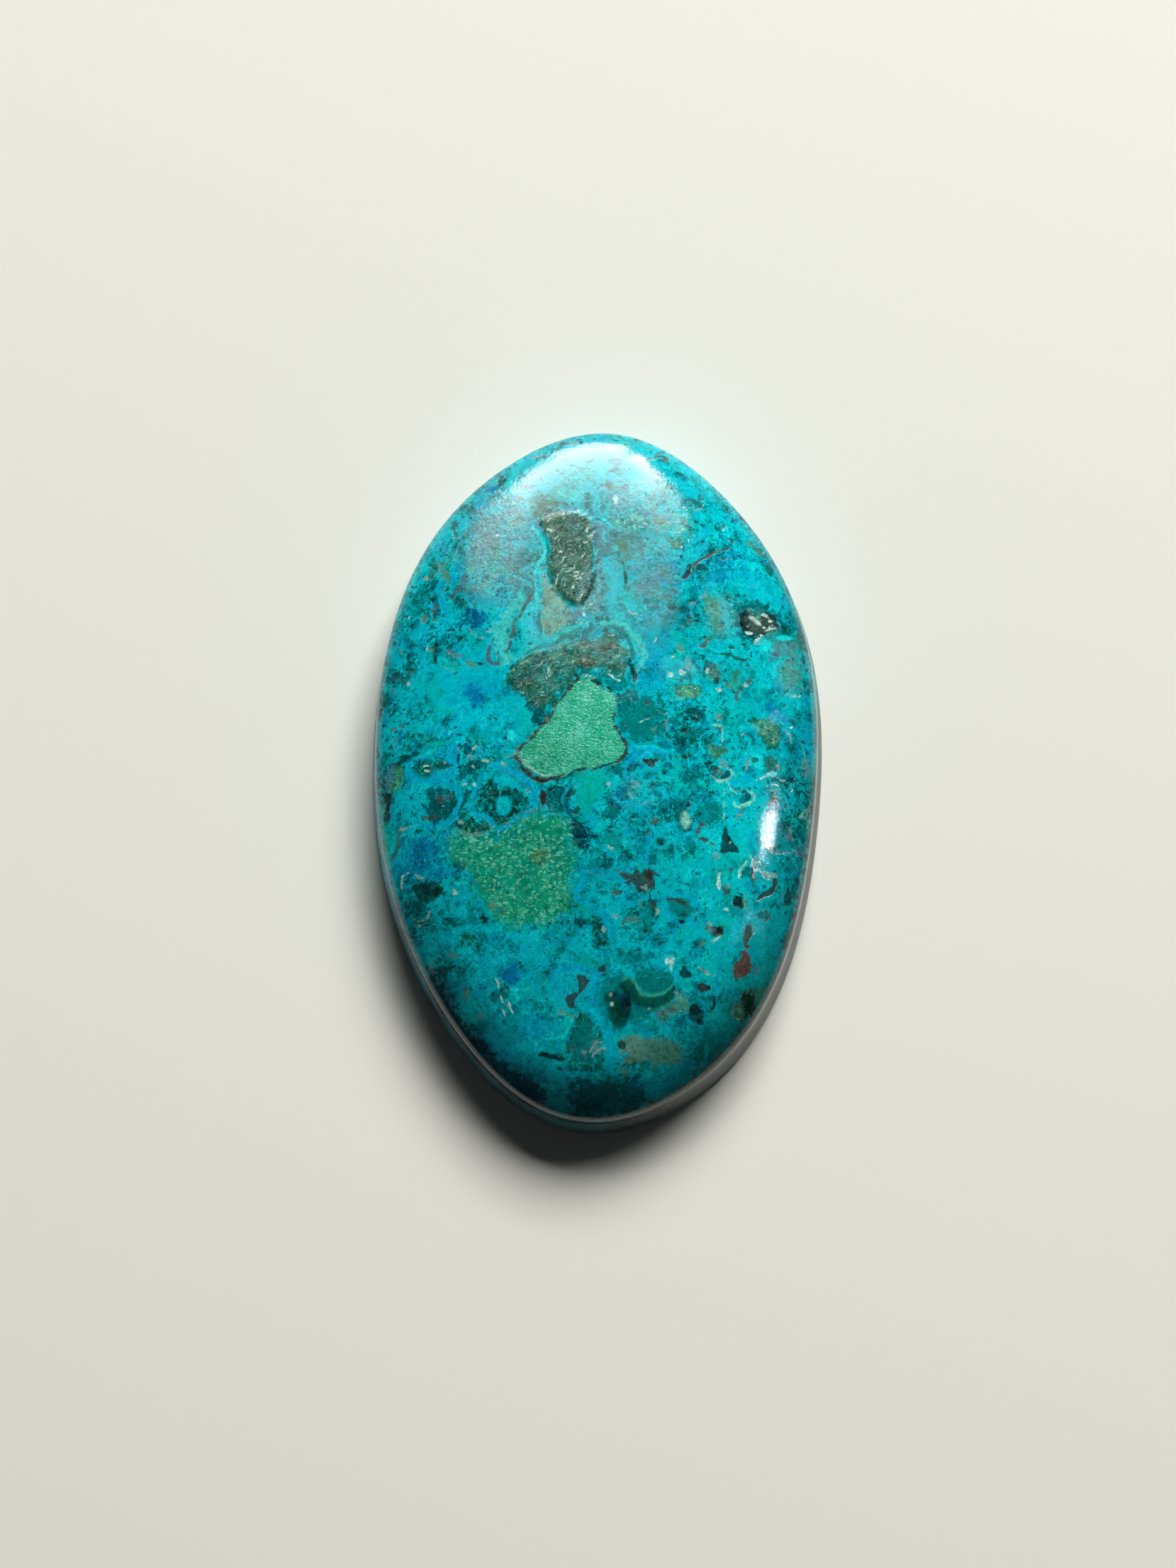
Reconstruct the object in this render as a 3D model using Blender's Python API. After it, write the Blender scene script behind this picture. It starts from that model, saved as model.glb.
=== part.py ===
"""A polished chrysocolla cabochon: an oval stone with a low dome, round shoulders, a steep wall and a flat back.

Run it with blender --background --python part.py, or from Blender's text editor.
The stone rests on its flat back at z = 0, with its length along Y and its dome facing +Z.
"""

import math

import bmesh
import bpy
from mathutils import Vector

MM = 0.001

# Driving dimensions, in millimetres
WIDTH = 25.0  # across the girdle, the stone's widest line
LENGTH = 38.8
THICKNESS = 6.6  # from the flat back to the crown
DOME_DROP = 1.1  # how far the low dome falls from the crown to the girdle's line
SHOULDER_REACH = 5.0  # width of the rounded shoulder, seen from above
SHOULDER_SLOPE = math.radians(33)  # how far the shoulder turns down, beyond the dome's own slope
EDGE_RADIUS = 0.8  # the tight curve between the shoulder and the wall
EDGE_START = math.radians(39.5)  # the slope that the shoulder and the dome add up to there
WALL_HEIGHT = 3.0
WALL_LEAN = math.radians(8)  # the wall leans in by this much from upright
BEVEL_HEIGHT = 0.6  # height of the girdle above the back
BEVEL_INSET = 0.5  # the flat back is smaller than the girdle by this much all round

# A stone ground by hand isn't a true oval. Each wave is its count round the outline, and its
# cosine and sine shares of the radius.
OUTLINE_WAVES = (
    (2, 0.0, -0.005),
    (3, -0.004, 0.0125),
    (5, -0.002, 0.0045),
    (6, -0.005, 0.005),
)

# How many rings of faces each stretch of the section has, from the crown to the middle of the back
DOME_RINGS = 8
SHOULDER_RINGS = 9
EDGE_RINGS = 5
WALL_RINGS = 2
BEVEL_RINGS = 3
BACK_RINGS = 2
SEGMENTS = 96

CHRYSOCOLLA_TEAL = (0.0, 0.36, 0.42, 1.0)
POLISHED_ROUGHNESS = 0.18

EDGE_END = math.pi / 2 - WALL_LEAN
EDGE_INSET = EDGE_RADIUS * (math.sin(EDGE_END) - math.sin(EDGE_START))
WALL_INSET = WALL_HEIGHT * math.tan(WALL_LEAN)
SHOULDER_RADIUS = SHOULDER_REACH / math.sin(SHOULDER_SLOPE)


def outline_swell(angle):
    """How much the outline departs from a true oval at this angle, as a factor near 1."""
    return 1 + sum(
        cosine * math.cos(count * angle) + sine * math.sin(count * angle)
        for count, cosine, sine in OUTLINE_WAVES
    )


def ring_point(angle, inset, fall=0.0, share=1.0):
    """A point of the domed face: inset from the girdle's line, or a share of that smaller oval.

    fall is how far the point lies below the low dome.
    """
    half_width = (WIDTH / 2 - inset) * share
    half_length = (LENGTH / 2 - inset) * share
    across = half_width * math.cos(angle)
    along = half_length * math.sin(angle)
    distance = (across / (WIDTH / 2)) ** 2 + (along / (LENGTH / 2)) ** 2
    swell = outline_swell(angle)
    return Vector((across * swell, along * swell, THICKNESS - DOME_DROP * distance - fall))


def dome_point(angle, share):
    """share runs from 0 at the crown to 1 where the shoulder begins."""
    return ring_point(angle, WALL_INSET + EDGE_INSET + SHOULDER_REACH, share=share)


def shoulder_point(angle, share):
    slope = share * SHOULDER_SLOPE
    reach = SHOULDER_REACH - SHOULDER_RADIUS * math.sin(slope)
    fall = SHOULDER_RADIUS * (1 - math.cos(slope))
    return ring_point(angle, WALL_INSET + EDGE_INSET + reach, fall)


def edge_point(angle, share):
    slope = EDGE_START + share * (EDGE_END - EDGE_START)
    start = shoulder_point(angle, 1)
    reach = EDGE_RADIUS * (math.sin(EDGE_END) - math.sin(slope))
    point = ring_point(angle, WALL_INSET + reach)
    point.z = start.z - EDGE_RADIUS * (math.cos(EDGE_START) - math.cos(slope))
    return point


def wall_point(angle, share):
    girdle = ring_point(angle, 0)
    girdle.z = BEVEL_HEIGHT
    return edge_point(angle, 1).lerp(girdle, share)


def bevel_point(angle, share):
    """A rounded bevel: a quarter turn from the girdle down to the edge of the flat back."""
    turn = share * math.pi / 2
    point = ring_point(angle, BEVEL_INSET * (1 - math.cos(turn)))
    point.z = BEVEL_HEIGHT * (1 - math.sin(turn))
    return point


def back_point(angle, share):
    point = ring_point(angle, BEVEL_INSET, share=1 - share)
    point.z = 0
    return point


STRETCHES = (
    (DOME_RINGS, dome_point),
    (SHOULDER_RINGS, shoulder_point),
    (EDGE_RINGS, edge_point),
    (WALL_RINGS, wall_point),
    (BEVEL_RINGS, bevel_point),
    (BACK_RINGS, back_point),
)
RINGS = sum(count for count, _ in STRETCHES)


def section_point(angle, ring):
    """The point of the stone on this ring, counted from the crown, at this angle round it."""
    for count, stretch in STRETCHES:
        if ring <= count:
            return stretch(angle, ring / count)
        ring -= count
    raise ValueError("the ring lies past the middle of the back")


def cut_stone(name, material):
    """The stone starts as a sphere, and each of its rings moves to its place on the section."""
    mesh = bpy.data.meshes.new(name)
    sphere = bmesh.new()
    bmesh.ops.create_uvsphere(sphere, u_segments=SEGMENTS, v_segments=RINGS, radius=1)
    for vertex in sphere.verts:
        x, y, z = vertex.co
        ring = round(math.acos(max(-1, min(1, z))) / math.pi * RINGS)
        vertex.co = section_point(math.atan2(y, x), ring)

    # The waves leave the oval a little off centre, and the origin is the middle of its box.
    lowest = Vector(min(v.co[i] for v in sphere.verts) for i in range(3))
    highest = Vector(max(v.co[i] for v in sphere.verts) for i in range(3))
    middle = (lowest + highest) / 2
    for vertex in sphere.verts:
        vertex.co = Vector((vertex.co.x - middle.x, vertex.co.y - middle.y, vertex.co.z)) * MM
    sphere.to_mesh(mesh)
    sphere.free()
    mesh.materials.append(material)
    mesh.shade_smooth()
    mesh.set_sharp_from_angle(angle=math.radians(30))
    return bpy.data.objects.new(name, mesh)


def polished_chrysocolla():
    material = bpy.data.materials.new("polished_chrysocolla")
    material.use_nodes = True
    shader = material.node_tree.nodes["Principled BSDF"]
    shader.inputs["Base Color"].default_value = CHRYSOCOLLA_TEAL
    shader.inputs["Roughness"].default_value = POLISHED_ROUGHNESS
    shader.inputs["Metallic"].default_value = 0.0
    return material


def main():
    for old in list(bpy.data.objects):
        bpy.data.objects.remove(old, do_unlink=True)
    parts = bpy.data.collections.new("chrysocolla_specimen")
    bpy.context.scene.collection.children.link(parts)
    parts.objects.link(cut_stone("polished_stone", polished_chrysocolla()))


main()
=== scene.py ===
# %% [markdown]
# # A polished chrysocolla cabochon
# Chrysocolla is a copper mineral that fills cracks and hollows in its rock. A lapidary saws a slab
# of it, grinds the slab to a low oval dome, and polishes it until it mirrors the window. This
# lesson builds such a stone: first its cut shape, then the pattern of its minerals, then its
# polish, and last the light that shows the polish.

# %% Load the frame
import math

import bpy
import numpy as np
from mathutils import Matrix, Vector


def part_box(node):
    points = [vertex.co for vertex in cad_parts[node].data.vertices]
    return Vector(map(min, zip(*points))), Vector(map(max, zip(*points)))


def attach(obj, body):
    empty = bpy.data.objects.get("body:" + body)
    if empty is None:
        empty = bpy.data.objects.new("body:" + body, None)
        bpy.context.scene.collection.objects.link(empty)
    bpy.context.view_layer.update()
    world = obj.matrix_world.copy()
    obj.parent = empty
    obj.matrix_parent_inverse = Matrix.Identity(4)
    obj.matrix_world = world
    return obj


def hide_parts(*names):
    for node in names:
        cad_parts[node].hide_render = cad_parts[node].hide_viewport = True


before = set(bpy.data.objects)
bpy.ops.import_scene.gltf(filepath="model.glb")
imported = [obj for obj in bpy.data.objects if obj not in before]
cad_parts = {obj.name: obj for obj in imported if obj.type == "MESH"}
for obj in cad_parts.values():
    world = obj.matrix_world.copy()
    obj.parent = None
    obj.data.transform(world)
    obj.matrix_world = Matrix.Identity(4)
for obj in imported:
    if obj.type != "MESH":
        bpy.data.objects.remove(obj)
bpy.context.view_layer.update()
MM = 0.001
cad_low, cad_high = (Vector(corner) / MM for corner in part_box("polished_stone"))
print("stone of the frame, mm:", [round(size, 2) for size in cad_high - cad_low])

# %% [markdown]
# ## Node trees written as Python
# Both the stone's shape and its finish are formulas. Node trees can hold formulas, but wiring a
# hundred Math nodes by hand hides what they say. So a wire of the tree becomes a Python value
# here: arithmetic on it adds the Math nodes, and the script reads like the formula it stands for.

# %% A wire that can be added and multiplied
class Wire:
    """One value that a node gives out. Python's operators on it add Math nodes to its tree."""

    def __init__(self, bench, socket):
        self.bench = bench
        self.socket = socket

    def out(self, name):
        """Another output of the same node."""
        return Wire(self.bench, self.socket.node.outputs[name])

    def __add__(self, other):
        return self.bench.math("ADD", self, other)

    def __radd__(self, other):
        return self.bench.math("ADD", other, self)

    def __sub__(self, other):
        return self.bench.math("SUBTRACT", self, other)

    def __rsub__(self, other):
        return self.bench.math("SUBTRACT", other, self)

    def __mul__(self, other):
        return self.bench.math("MULTIPLY", self, other)

    def __rmul__(self, other):
        return self.bench.math("MULTIPLY", other, self)

    def __truediv__(self, other):
        return self.bench.math("DIVIDE", self, other)

    def __abs__(self):
        return self.bench.math("ABSOLUTE", self)

    def __pow__(self, other):
        return self.bench.math("POWER", self, other)

    def __gt__(self, other):
        return self.bench.math("GREATER_THAN", self, other)

    def clamped(self):
        return self.bench.math("ADD", self, 0.0, clamp=True)

    def rise(self, low, high):
        """0 below low, 1 above high, and a smooth step between them."""
        inputs = {"Value": self, "From Min": low, "From Max": high}
        return self.bench.node("ShaderNodeMapRange", {"interpolation_type": "SMOOTHSTEP"}, inputs)


class Bench:
    """A node tree, with one method that makes any of its nodes."""

    def __init__(self, tree):
        self.tree = tree

    def plug(self, place, value):
        if isinstance(value, Wire):
            self.tree.links.new(value.socket, place)
        else:
            place.default_value = value

    def node(self, kind, settings=None, inputs=None, output=0):
        made = self.tree.nodes.new(kind)
        for name, value in (settings or {}).items():
            setattr(made, name, value)
        for name, value in (inputs or {}).items():
            self.plug(made.inputs[name], value)
        return Wire(self, made.outputs[output])

    def math(self, operation, *values, clamp=False):
        inputs = dict(enumerate(values))
        return self.node("ShaderNodeMath", {"operation": operation, "use_clamp": clamp}, inputs)

    def vector(self, x, y, z=0.0):
        return self.node("ShaderNodeCombineXYZ", None, {"X": x, "Y": y, "Z": z})

    def mixed(self, factor, base, top):
        """Colour top over colour base. The Mix node's colour inputs are numbers 6 and 7 of its list."""
        settings = {"data_type": "RGBA", "clamp_factor": True}
        return self.node("ShaderNodeMix", settings, {0: factor, 6: base, 7: top}, output=2)


print("helpers ready")

# %% [markdown]
# ## The cut of the stone
# A cabochon's section is always the same few strokes of the grinding wheel: a low dome, a rounded
# shoulder, a tight edge, a steep wall, a small bevel and a flat back. It could be modelled by
# hand, but a formula in Geometry Nodes keeps every stroke a number that can be changed. The face
# is a square grid that is bent into a disc, so its quads stay even, with no pole at the crown.
# All its sizes are those of the frame's stone.

# %% Sizes of the cut, in millimetres and radians
CUT = {
    "Width": 25.0,
    "Length": 38.8,
    "Thickness": 6.6,
    "Dome Drop": 1.1,
    "Shoulder Reach": 5.0,
    "Shoulder Slope": math.radians(33),
    "Edge Radius": 0.8,
    "Edge Start": math.radians(39.5),
    "Wall Height": 3.0,
    "Wall Lean": math.radians(8),
    "Bevel Height": 0.6,
    "Bevel Inset": 0.5,
}
OUTLINE_WAVES = ((2, 0.0, -0.005), (3, -0.004, 0.0125), (5, -0.002, 0.0045), (6, -0.005, 0.005))
CELLS_ACROSS = 216  # faces of the square grid that becomes the domed face
CELLS_ALONG = 364
DOME_PART = 0.6  # the share of the square's half-width that lies on the low dome
SIDE_ROWS = {"edge": 4, "wall": 3, "bevel": 2, "back": 2}
WELD_DISTANCE = 0.000002

# %% The section's formulas
class Section:
    """The cut's formulas on one bench, with the tree's inputs as its sizes."""

    def __init__(self, bench):
        sizes = bench.node("NodeGroupInput")
        self.bench = bench
        self.size = {name: sizes.out(name) for name in CUT}
        self.edge_end = math.pi / 2 - self.size["Wall Lean"]
        self.edge_inset = self.edge_beyond(self.size["Edge Start"])
        self.wall_inset = self.size["Wall Height"] * bench.math("TANGENT", self.size["Wall Lean"])

    def edge_beyond(self, slope):
        """How far the tight edge still reaches outwards from the place where it has this slope."""
        sines = self.bench.math("SINE", self.edge_end) - self.bench.math("SINE", slope)
        return self.size["Edge Radius"] * sines

    def swell(self, angle):
        """How much the hand-ground outline departs from a true oval."""
        total = 1.0
        for count, cosine, sine in OUTLINE_WAVES:
            turn = angle * float(count)
            total = total + cosine * self.bench.math("COSINE", turn)
            total = total + sine * self.bench.math("SINE", turn)
        return total

    def ring(self, angle, inset, share=1.0):
        """x, y and the height of the low dome, at this inset from the girdle."""
        bench, size = self.bench, self.size
        half_width, half_length = size["Width"] * 0.5, size["Length"] * 0.5
        across = (half_width - inset) * share * bench.math("COSINE", angle)
        along = (half_length - inset) * share * bench.math("SINE", angle)
        distance = (across / half_width) ** 2.0 + (along / half_length) ** 2.0
        swell = self.swell(angle)
        return across * swell, along * swell, size["Thickness"] - size["Dome Drop"] * distance

    def shoulder(self, part):
        """How far the shoulder has fallen below the dome, part of the way out."""
        reach, slope = self.size["Shoulder Reach"], self.size["Shoulder Slope"]
        sine = self.bench.math("SINE", slope)
        cosine = self.bench.math("SQRT", 1.0 - (part * sine) ** 2.0)
        return reach / sine * (1.0 - cosine)


# %% The domed face, a square bent into a disc
def flat_grid(bench, side, columns, rows):
    """A square of faces about the origin, with x and y of its points."""
    sizes = {"Size X": side, "Size Y": side, "Vertices X": columns + 1, "Vertices Y": rows + 1}
    grid = bench.node("GeometryNodeMeshGrid", None, sizes)
    place = bench.node("ShaderNodeSeparateXYZ", None, {"Vector": bench.node("GeometryNodeInputPosition")})
    return grid, place.out("X"), place.out("Y")


def domed_face(bench, section):
    grid, x, y = flat_grid(bench, 2.0, CELLS_ACROSS, CELLS_ALONG)
    wide = abs(x) > abs(y)
    long_turn, short_turn = math.pi / 4 * (y / x), math.pi / 4 * (x / y)
    long_part, short_part = wide * x, (1.0 - wide) * y
    disc_x = long_part * bench.math("COSINE", long_turn) + short_part * bench.math("SINE", short_turn)
    disc_y = long_part * bench.math("SINE", long_turn) + short_part * bench.math("COSINE", short_turn)
    angle = bench.math("ARCTAN2", disc_y, disc_x)
    radius = bench.math("MAXIMUM", abs(x), abs(y))

    share = (radius / DOME_PART).clamped()
    part = ((radius - DOME_PART) / (1.0 - DOME_PART)).clamped()
    reach = section.size["Shoulder Reach"] * (1.0 - part)
    inset = section.wall_inset + section.edge_inset + reach
    across, along, height = section.ring(angle, inset, share)
    spot = bench.vector(across, along, height - section.shoulder(part))
    return bench.node("GeometryNodeSetPosition", None, {"Geometry": grid, "Position": spot})


# %% The edge, wall, bevel and back, a strip wrapped round the face
def stone_side(bench, section):
    rows, quarters = sum(SIDE_ROWS.values()), (CELLS_ALONG, CELLS_ACROSS) * 2
    grid, x, y = flat_grid(bench, 1.0, sum(quarters), rows)
    angle = math.pi / 4
    column = (x + 0.5) * float(sum(quarters))
    for count in quarters:
        angle = angle - (column / float(count)).clamped() * (math.pi / 2)
        column = column - float(count)
    row = (y + 0.5) * float(rows)
    shares = {}
    for name, count in SIDE_ROWS.items():
        shares[name] = (row / float(count)).clamped()
        row = row - float(count)

    size = section.size
    slope = size["Edge Start"] + shares["edge"] * (section.edge_end - size["Edge Start"])
    turn = shares["bevel"] * (math.pi / 2)
    edge_left = section.edge_beyond(slope)
    wall_left = section.wall_inset * (1.0 - shares["wall"])
    bevelled = size["Bevel Inset"] * (1.0 - bench.math("COSINE", turn))
    across, along, _ = section.ring(angle, edge_left + wall_left + bevelled, 1.0 - shares["back"])

    _, _, dome = section.ring(angle, section.wall_inset + section.edge_inset)
    curl = bench.math("COSINE", size["Edge Start"]) - bench.math("COSINE", slope)
    height = dome - section.shoulder(1.0) - size["Edge Radius"] * curl
    height = height + shares["wall"] * (size["Bevel Height"] - height)
    height = height - size["Bevel Height"] * bench.math("SINE", turn)
    spot = bench.vector(across, along, height)
    return bench.node("GeometryNodeSetPosition", None, {"Geometry": grid, "Position": spot})


# %% The tree that joins them
def stone_tree(material):
    tree = bpy.data.node_groups.new("cabochon_cut", "GeometryNodeTree")
    tree.interface.new_socket("Geometry", in_out="INPUT", socket_type="NodeSocketGeometry")
    tree.interface.new_socket("Geometry", in_out="OUTPUT", socket_type="NodeSocketGeometry")
    for name in CUT:
        tree.interface.new_socket(name, in_out="INPUT", socket_type="NodeSocketFloat")
    bench = Bench(tree)
    section = Section(bench)
    join = bench.node("GeometryNodeJoinGeometry")
    for part in (domed_face(bench, section), stone_side(bench, section)):
        tree.links.new(part.socket, join.socket.node.inputs[0])

    # The waves leave the oval a little off centre, and the frame's origin is the middle of its box.
    box = bench.node("GeometryNodeBoundBox", None, {"Geometry": join})
    ends = (box.out("Min"), box.out("Max"))
    low, high = (bench.node("ShaderNodeSeparateXYZ", None, {"Vector": end}) for end in ends)
    middle = [(low.out(axis) + high.out(axis)) * -0.5 for axis in ("X", "Y")]
    offset = bench.vector(*middle)
    moved = bench.node("GeometryNodeSetPosition", None, {"Geometry": join, "Offset": offset})
    scale = {"Geometry": moved, "Scale": (MM, MM, MM)}
    sized = bench.node("GeometryNodeTransform", None, scale)
    seams = {"Geometry": sized, "Distance": WELD_DISTANCE}
    welded = bench.node("GeometryNodeMergeByDistance", None, seams)
    smooth = bench.node("GeometryNodeSetShadeSmooth", None, {"Geometry": welded})
    real = bench.node("GeometryNodeRealizeInstances", None, {"Geometry": smooth})
    dressed = bench.node("GeometryNodeSetMaterial", None, {"Geometry": real, "Material": material})
    out = tree.nodes.new("NodeGroupOutput")
    tree.links.new(dressed.socket, out.inputs[0])
    return tree


def grown_mesh(name, tree, sizes):
    """The mesh that a tree makes with these sizes, as a plain object at the origin."""
    seed = bpy.data.objects.new(name, bpy.data.meshes.new(name))
    bpy.context.scene.collection.objects.link(seed)
    modifier = seed.modifiers.new("cut", "NODES")
    modifier.node_group = tree
    for item in tree.interface.items_tree:
        if item.name in sizes:
            modifier[item.identifier] = sizes[item.name]
    graph = bpy.context.evaluated_depsgraph_get()
    mesh = bpy.data.meshes.new_from_object(seed.evaluated_get(graph), depsgraph=graph)
    seed.modifiers.clear()
    seed.data = mesh
    mesh.name = name
    return seed


finish = bpy.data.materials.new("polished_chrysocolla")
finish.use_nodes = True
stone = grown_mesh("cabochon", stone_tree(finish), CUT)
triangles = sum(len(face.vertices) - 2 for face in stone.data.polygons)
print("cabochon:", triangles, "triangles,", [round(side / MM, 2) for side in stone.dimensions], "mm")

# %% [markdown]
# ## The pattern of the minerals
# A specimen's pattern is its own: sky-blue chrysocolla, green malachite, brown and black copper
# ores. An image would be the easy way, but it has one size and one light baked in. Here every
# patch, vein and fleck is a small shape, placed in millimetres on the stone's face, with
# the name of its mineral colour. Each point of the mesh learns how deep it lies inside the
# nearest shape; the finish turns those depths into crisp, ragged edges later.

# %% Mineral colours, as a screen shows them
MINERALS = {
    "azure": (0, 168, 206),
    "blue": (0, 120, 176),
    "deep blue": (0, 88, 142),
    "navy": (0, 46, 70),
    "cyan": (0, 188, 208),
    "sky": (14, 218, 228),
    "turquoise": (0, 182, 174),
    "teal": (0, 122, 124),
    "deep teal": (0, 82, 90),
    "bottle": (4, 56, 44),
    "forest": (10, 92, 70),
    "jade": (40, 140, 112),
    "mint": (72, 200, 164),
    "olive": (48, 110, 92),
    "khaki": (72, 132, 112),
    "bark": (68, 76, 66),
    "umber": (44, 40, 38),
    "ink": (10, 22, 22),
    "slate": (74, 128, 142),
    "haze": (100, 164, 174),
    "mauve": (66, 102, 118),
    "cream": (148, 186, 170),
    "bone": (186, 228, 224),
    "rust": (62, 58, 58),
    "tan": (94, 142, 124),
    "malachite": (6, 158, 120),
    "window green": (56, 194, 164),
    "frost": (130, 214, 196),
    "lichen": (70, 142, 120),
    "ochre": (84, 124, 64),
    "pale mint": (112, 216, 188),
    "silver": (200, 230, 218),
    "shell": (62, 198, 196),
    # painted shade and reflection for the right wall, not a mineral
    "matrix": (66, 74, 56),
    "fog": (128, 176, 164),
    "fern": (0, 60, 30),
    "sienna": (104, 62, 58),
}


def linear(colour):
    """A screen's 0 to 255 values as the light they stand for."""
    share = np.array(colour) / 255
    return np.where(share < 0.04045, share / 12.92, ((share + 0.055) / 1.055) ** 2.4)


MINERALS = {name: linear(colour) for name, colour in MINERALS.items()}
print(len(MINERALS), "mineral colours")

# %% Where the mesh's points lie, with a slight hand-drawn wobble
points = np.empty(len(stone.data.vertices) * 3)
stone.data.vertices.foreach_get("co", points)
points = points.reshape(-1, 3) / MM
rng = np.random.default_rng(7)
WAVES = 14  # in one wobble


def wobble(places, wavelength, size):
    """A smooth random shift of places, so that a shape's outline isn't a clean curve."""
    shift = np.zeros_like(places)
    for _ in range(WAVES):
        heading = rng.normal(size=2) * 2 * math.pi / wavelength
        phase = rng.uniform(0, 2 * math.pi, size=2)
        shift += np.sin(places @ heading[:, None] + phase) * size / WAVES**0.5
    return shift


# Soft copper ores wear away below the polish. How deep, in millimetres:
HOLLOWS = {"ink": 0.02, "umber": 0.005, "bottle": 0.004}
hollow = np.zeros(len(points))

plan = points[:, :2].copy()
plan += wobble(plan, 2.4, 0.05) + wobble(plan, 0.9, 0.025)


# %% Depth inside outlines, strokes and spots
CURVE_STEPS = 5  # straight pieces from one corner to the next
TIP = 0.35  # a stroke's width at its ends, as a share of its middle


def through(numbers, closed):
    """A smooth curve through the given corners, as x, y, x, y and so on."""
    corners = np.reshape(numbers, (-1, 2)).astype(float)
    if closed:
        padded = np.vstack([corners[-1:], corners, corners[:2]])
    else:
        padded = np.vstack([2 * corners[:1] - corners[1:2], corners, 2 * corners[-1:] - corners[-2:-1]])
    curve = []
    for a, b, c, d in zip(padded, padded[1:], padded[2:], padded[3:]):
        for t in np.arange(CURVE_STEPS) / CURVE_STEPS:
            bend = (2 * a - 5 * b + 4 * c - d) * t**2 + (3 * b - a - 3 * c + d) * t**3
            curve.append(b + 0.5 * ((c - a) * t + bend))
    if not closed:
        curve.append(padded[-2])
    return np.array(curve)


def nearest_on(places, curve):
    """For each place, its distance to the curve, and how far along the nearest point lies."""
    best = np.full(len(places), np.inf)
    along = np.zeros(len(places))
    count = len(curve) - 1
    for index, (start, end) in enumerate(zip(curve, curve[1:])):
        run = end - start
        share = np.clip((places - start) @ run / max(run @ run, 1e-12), 0, 1)
        away = np.hypot(*(places - start - share[:, None] * run).T)
        closer = away < best
        best[closer] = away[closer]
        along[closer] = (index + share[closer]) / count
    return best, along


def inside(places, curve):
    """Whether each place lies within a closed curve, by counting the crossings to its right."""
    crossings = np.zeros(len(places), int)
    for start, end in zip(curve, np.roll(curve, -1, axis=0)):
        spans = (start[1] > places[:, 1]) != (end[1] > places[:, 1])
        rise = end[1] - start[1] or 1e-12
        cut = start[0] + (places[:, 1] - start[1]) / rise * (end[0] - start[0])
        crossings += spans & (places[:, 0] < cut)
    return crossings % 2 == 1


def patch(*corners):
    """An area: depth grows inwards from its outline."""
    curve = through(corners, closed=True)
    closed = np.vstack([curve, curve[:1]])

    def depth(places):
        away, _ = nearest_on(places, closed)
        return np.where(inside(places, curve), away, -away)

    return curve, 0.0, depth


def vein(width, *corners):
    """A stroke that thins towards its ends."""
    curve = through(corners, closed=False)

    def depth(places):
        away, along = nearest_on(places, curve)
        return width / 2 * (TIP + (1 - TIP) * np.sin(math.pi * along) ** 0.5) - away

    return curve, width, depth


def spot(x, y, wide, high, turn=0.0):
    """An oval, turned by some degrees."""
    tilt = math.radians(turn)

    def depth(places):
        right, up = places[:, 0] - x, places[:, 1] - y
        along = right * math.cos(tilt) + up * math.sin(tilt)
        across = up * math.cos(tilt) - right * math.sin(tilt)
        return (1 - np.hypot(along / wide, across / high)) * min(wide, high)

    size = max(wide, high)
    return np.array([(x - size, y - size), (x + size, y + size)]), 0.0, depth


def shape_of(numbers):
    """Four or five numbers are a spot, another odd count a vein, and the rest a patch."""
    if len(numbers) <= 5:
        return spot(*numbers)
    return vein(*numbers) if len(numbers) % 2 else patch(*numbers)


# %% Layers of shapes, and where a texture shows
DEEPEST = 4  # depths further in or out than this count as this
SOFT_EDGE = -0.99  # what is further out than this isn't on a shape's edge


def store_number(name, numbers):
    made = stone.data.attributes.new(name, "FLOAT", "POINT")
    made.data.foreach_set("value", numbers.astype(np.float32))


def store_colour(name, colours):
    made = stone.data.attributes.new(name, "FLOAT_COLOR", "POINT")
    opaque = np.hstack([colours, np.ones((len(colours), 1))])
    made.data.foreach_set("color", opaque.astype(np.float32).ravel())


def points_near(curve, margin):
    low, high = curve.min(axis=0) - margin, curve.max(axis=0) + margin
    return np.flatnonzero(((plan > low) & (plan < high)).all(axis=1))


def covered_share(depth):
    """0 outside, 1 inside, and in between on the edge, where depth goes from -1 to 1."""
    return np.clip(depth * 0.5 + 0.5, 0, 1)


class Layer:
    """One coat of the pattern: for each point of the mesh a depth and a colour."""

    def __init__(self, name):
        self.name = name
        self.depth = np.full(len(plan), -float(DEEPEST))
        self.tint = np.zeros((len(plan), 3))
        self.count = 0

    def lay(self, mineral, softness, shape):
        """Depth counts in units of softness: an edge softness wide, in millimetres."""
        curve, grown, depth_of = shape
        near = points_near(curve, grown + DEEPEST * softness)
        depth = depth_of(plan[near]) / softness
        bare = self.depth[near] < SOFT_EDGE
        cover = np.where(bare, (depth > self.depth[near]) * 1.0, covered_share(depth))
        self.tint[near] += (MINERALS[mineral] - self.tint[near]) * cover[:, None]
        self.depth[near] = np.maximum(self.depth[near], np.clip(depth, -DEEPEST, DEEPEST))
        self.count += 1
        sunk = HOLLOWS.get(mineral, 0.0) * covered_share(depth)
        hollow[near] = np.maximum(hollow[near], sunk)

    def lay_all(self, *rows):
        for mineral, softness, *numbers in rows:
            self.lay(mineral, softness, shape_of(numbers))

    def store(self):
        store_number(self.name + " depth", self.depth)
        store_colour(self.name + " tint", self.tint)
        print(self.name, "layer:", self.count, "shapes")


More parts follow.
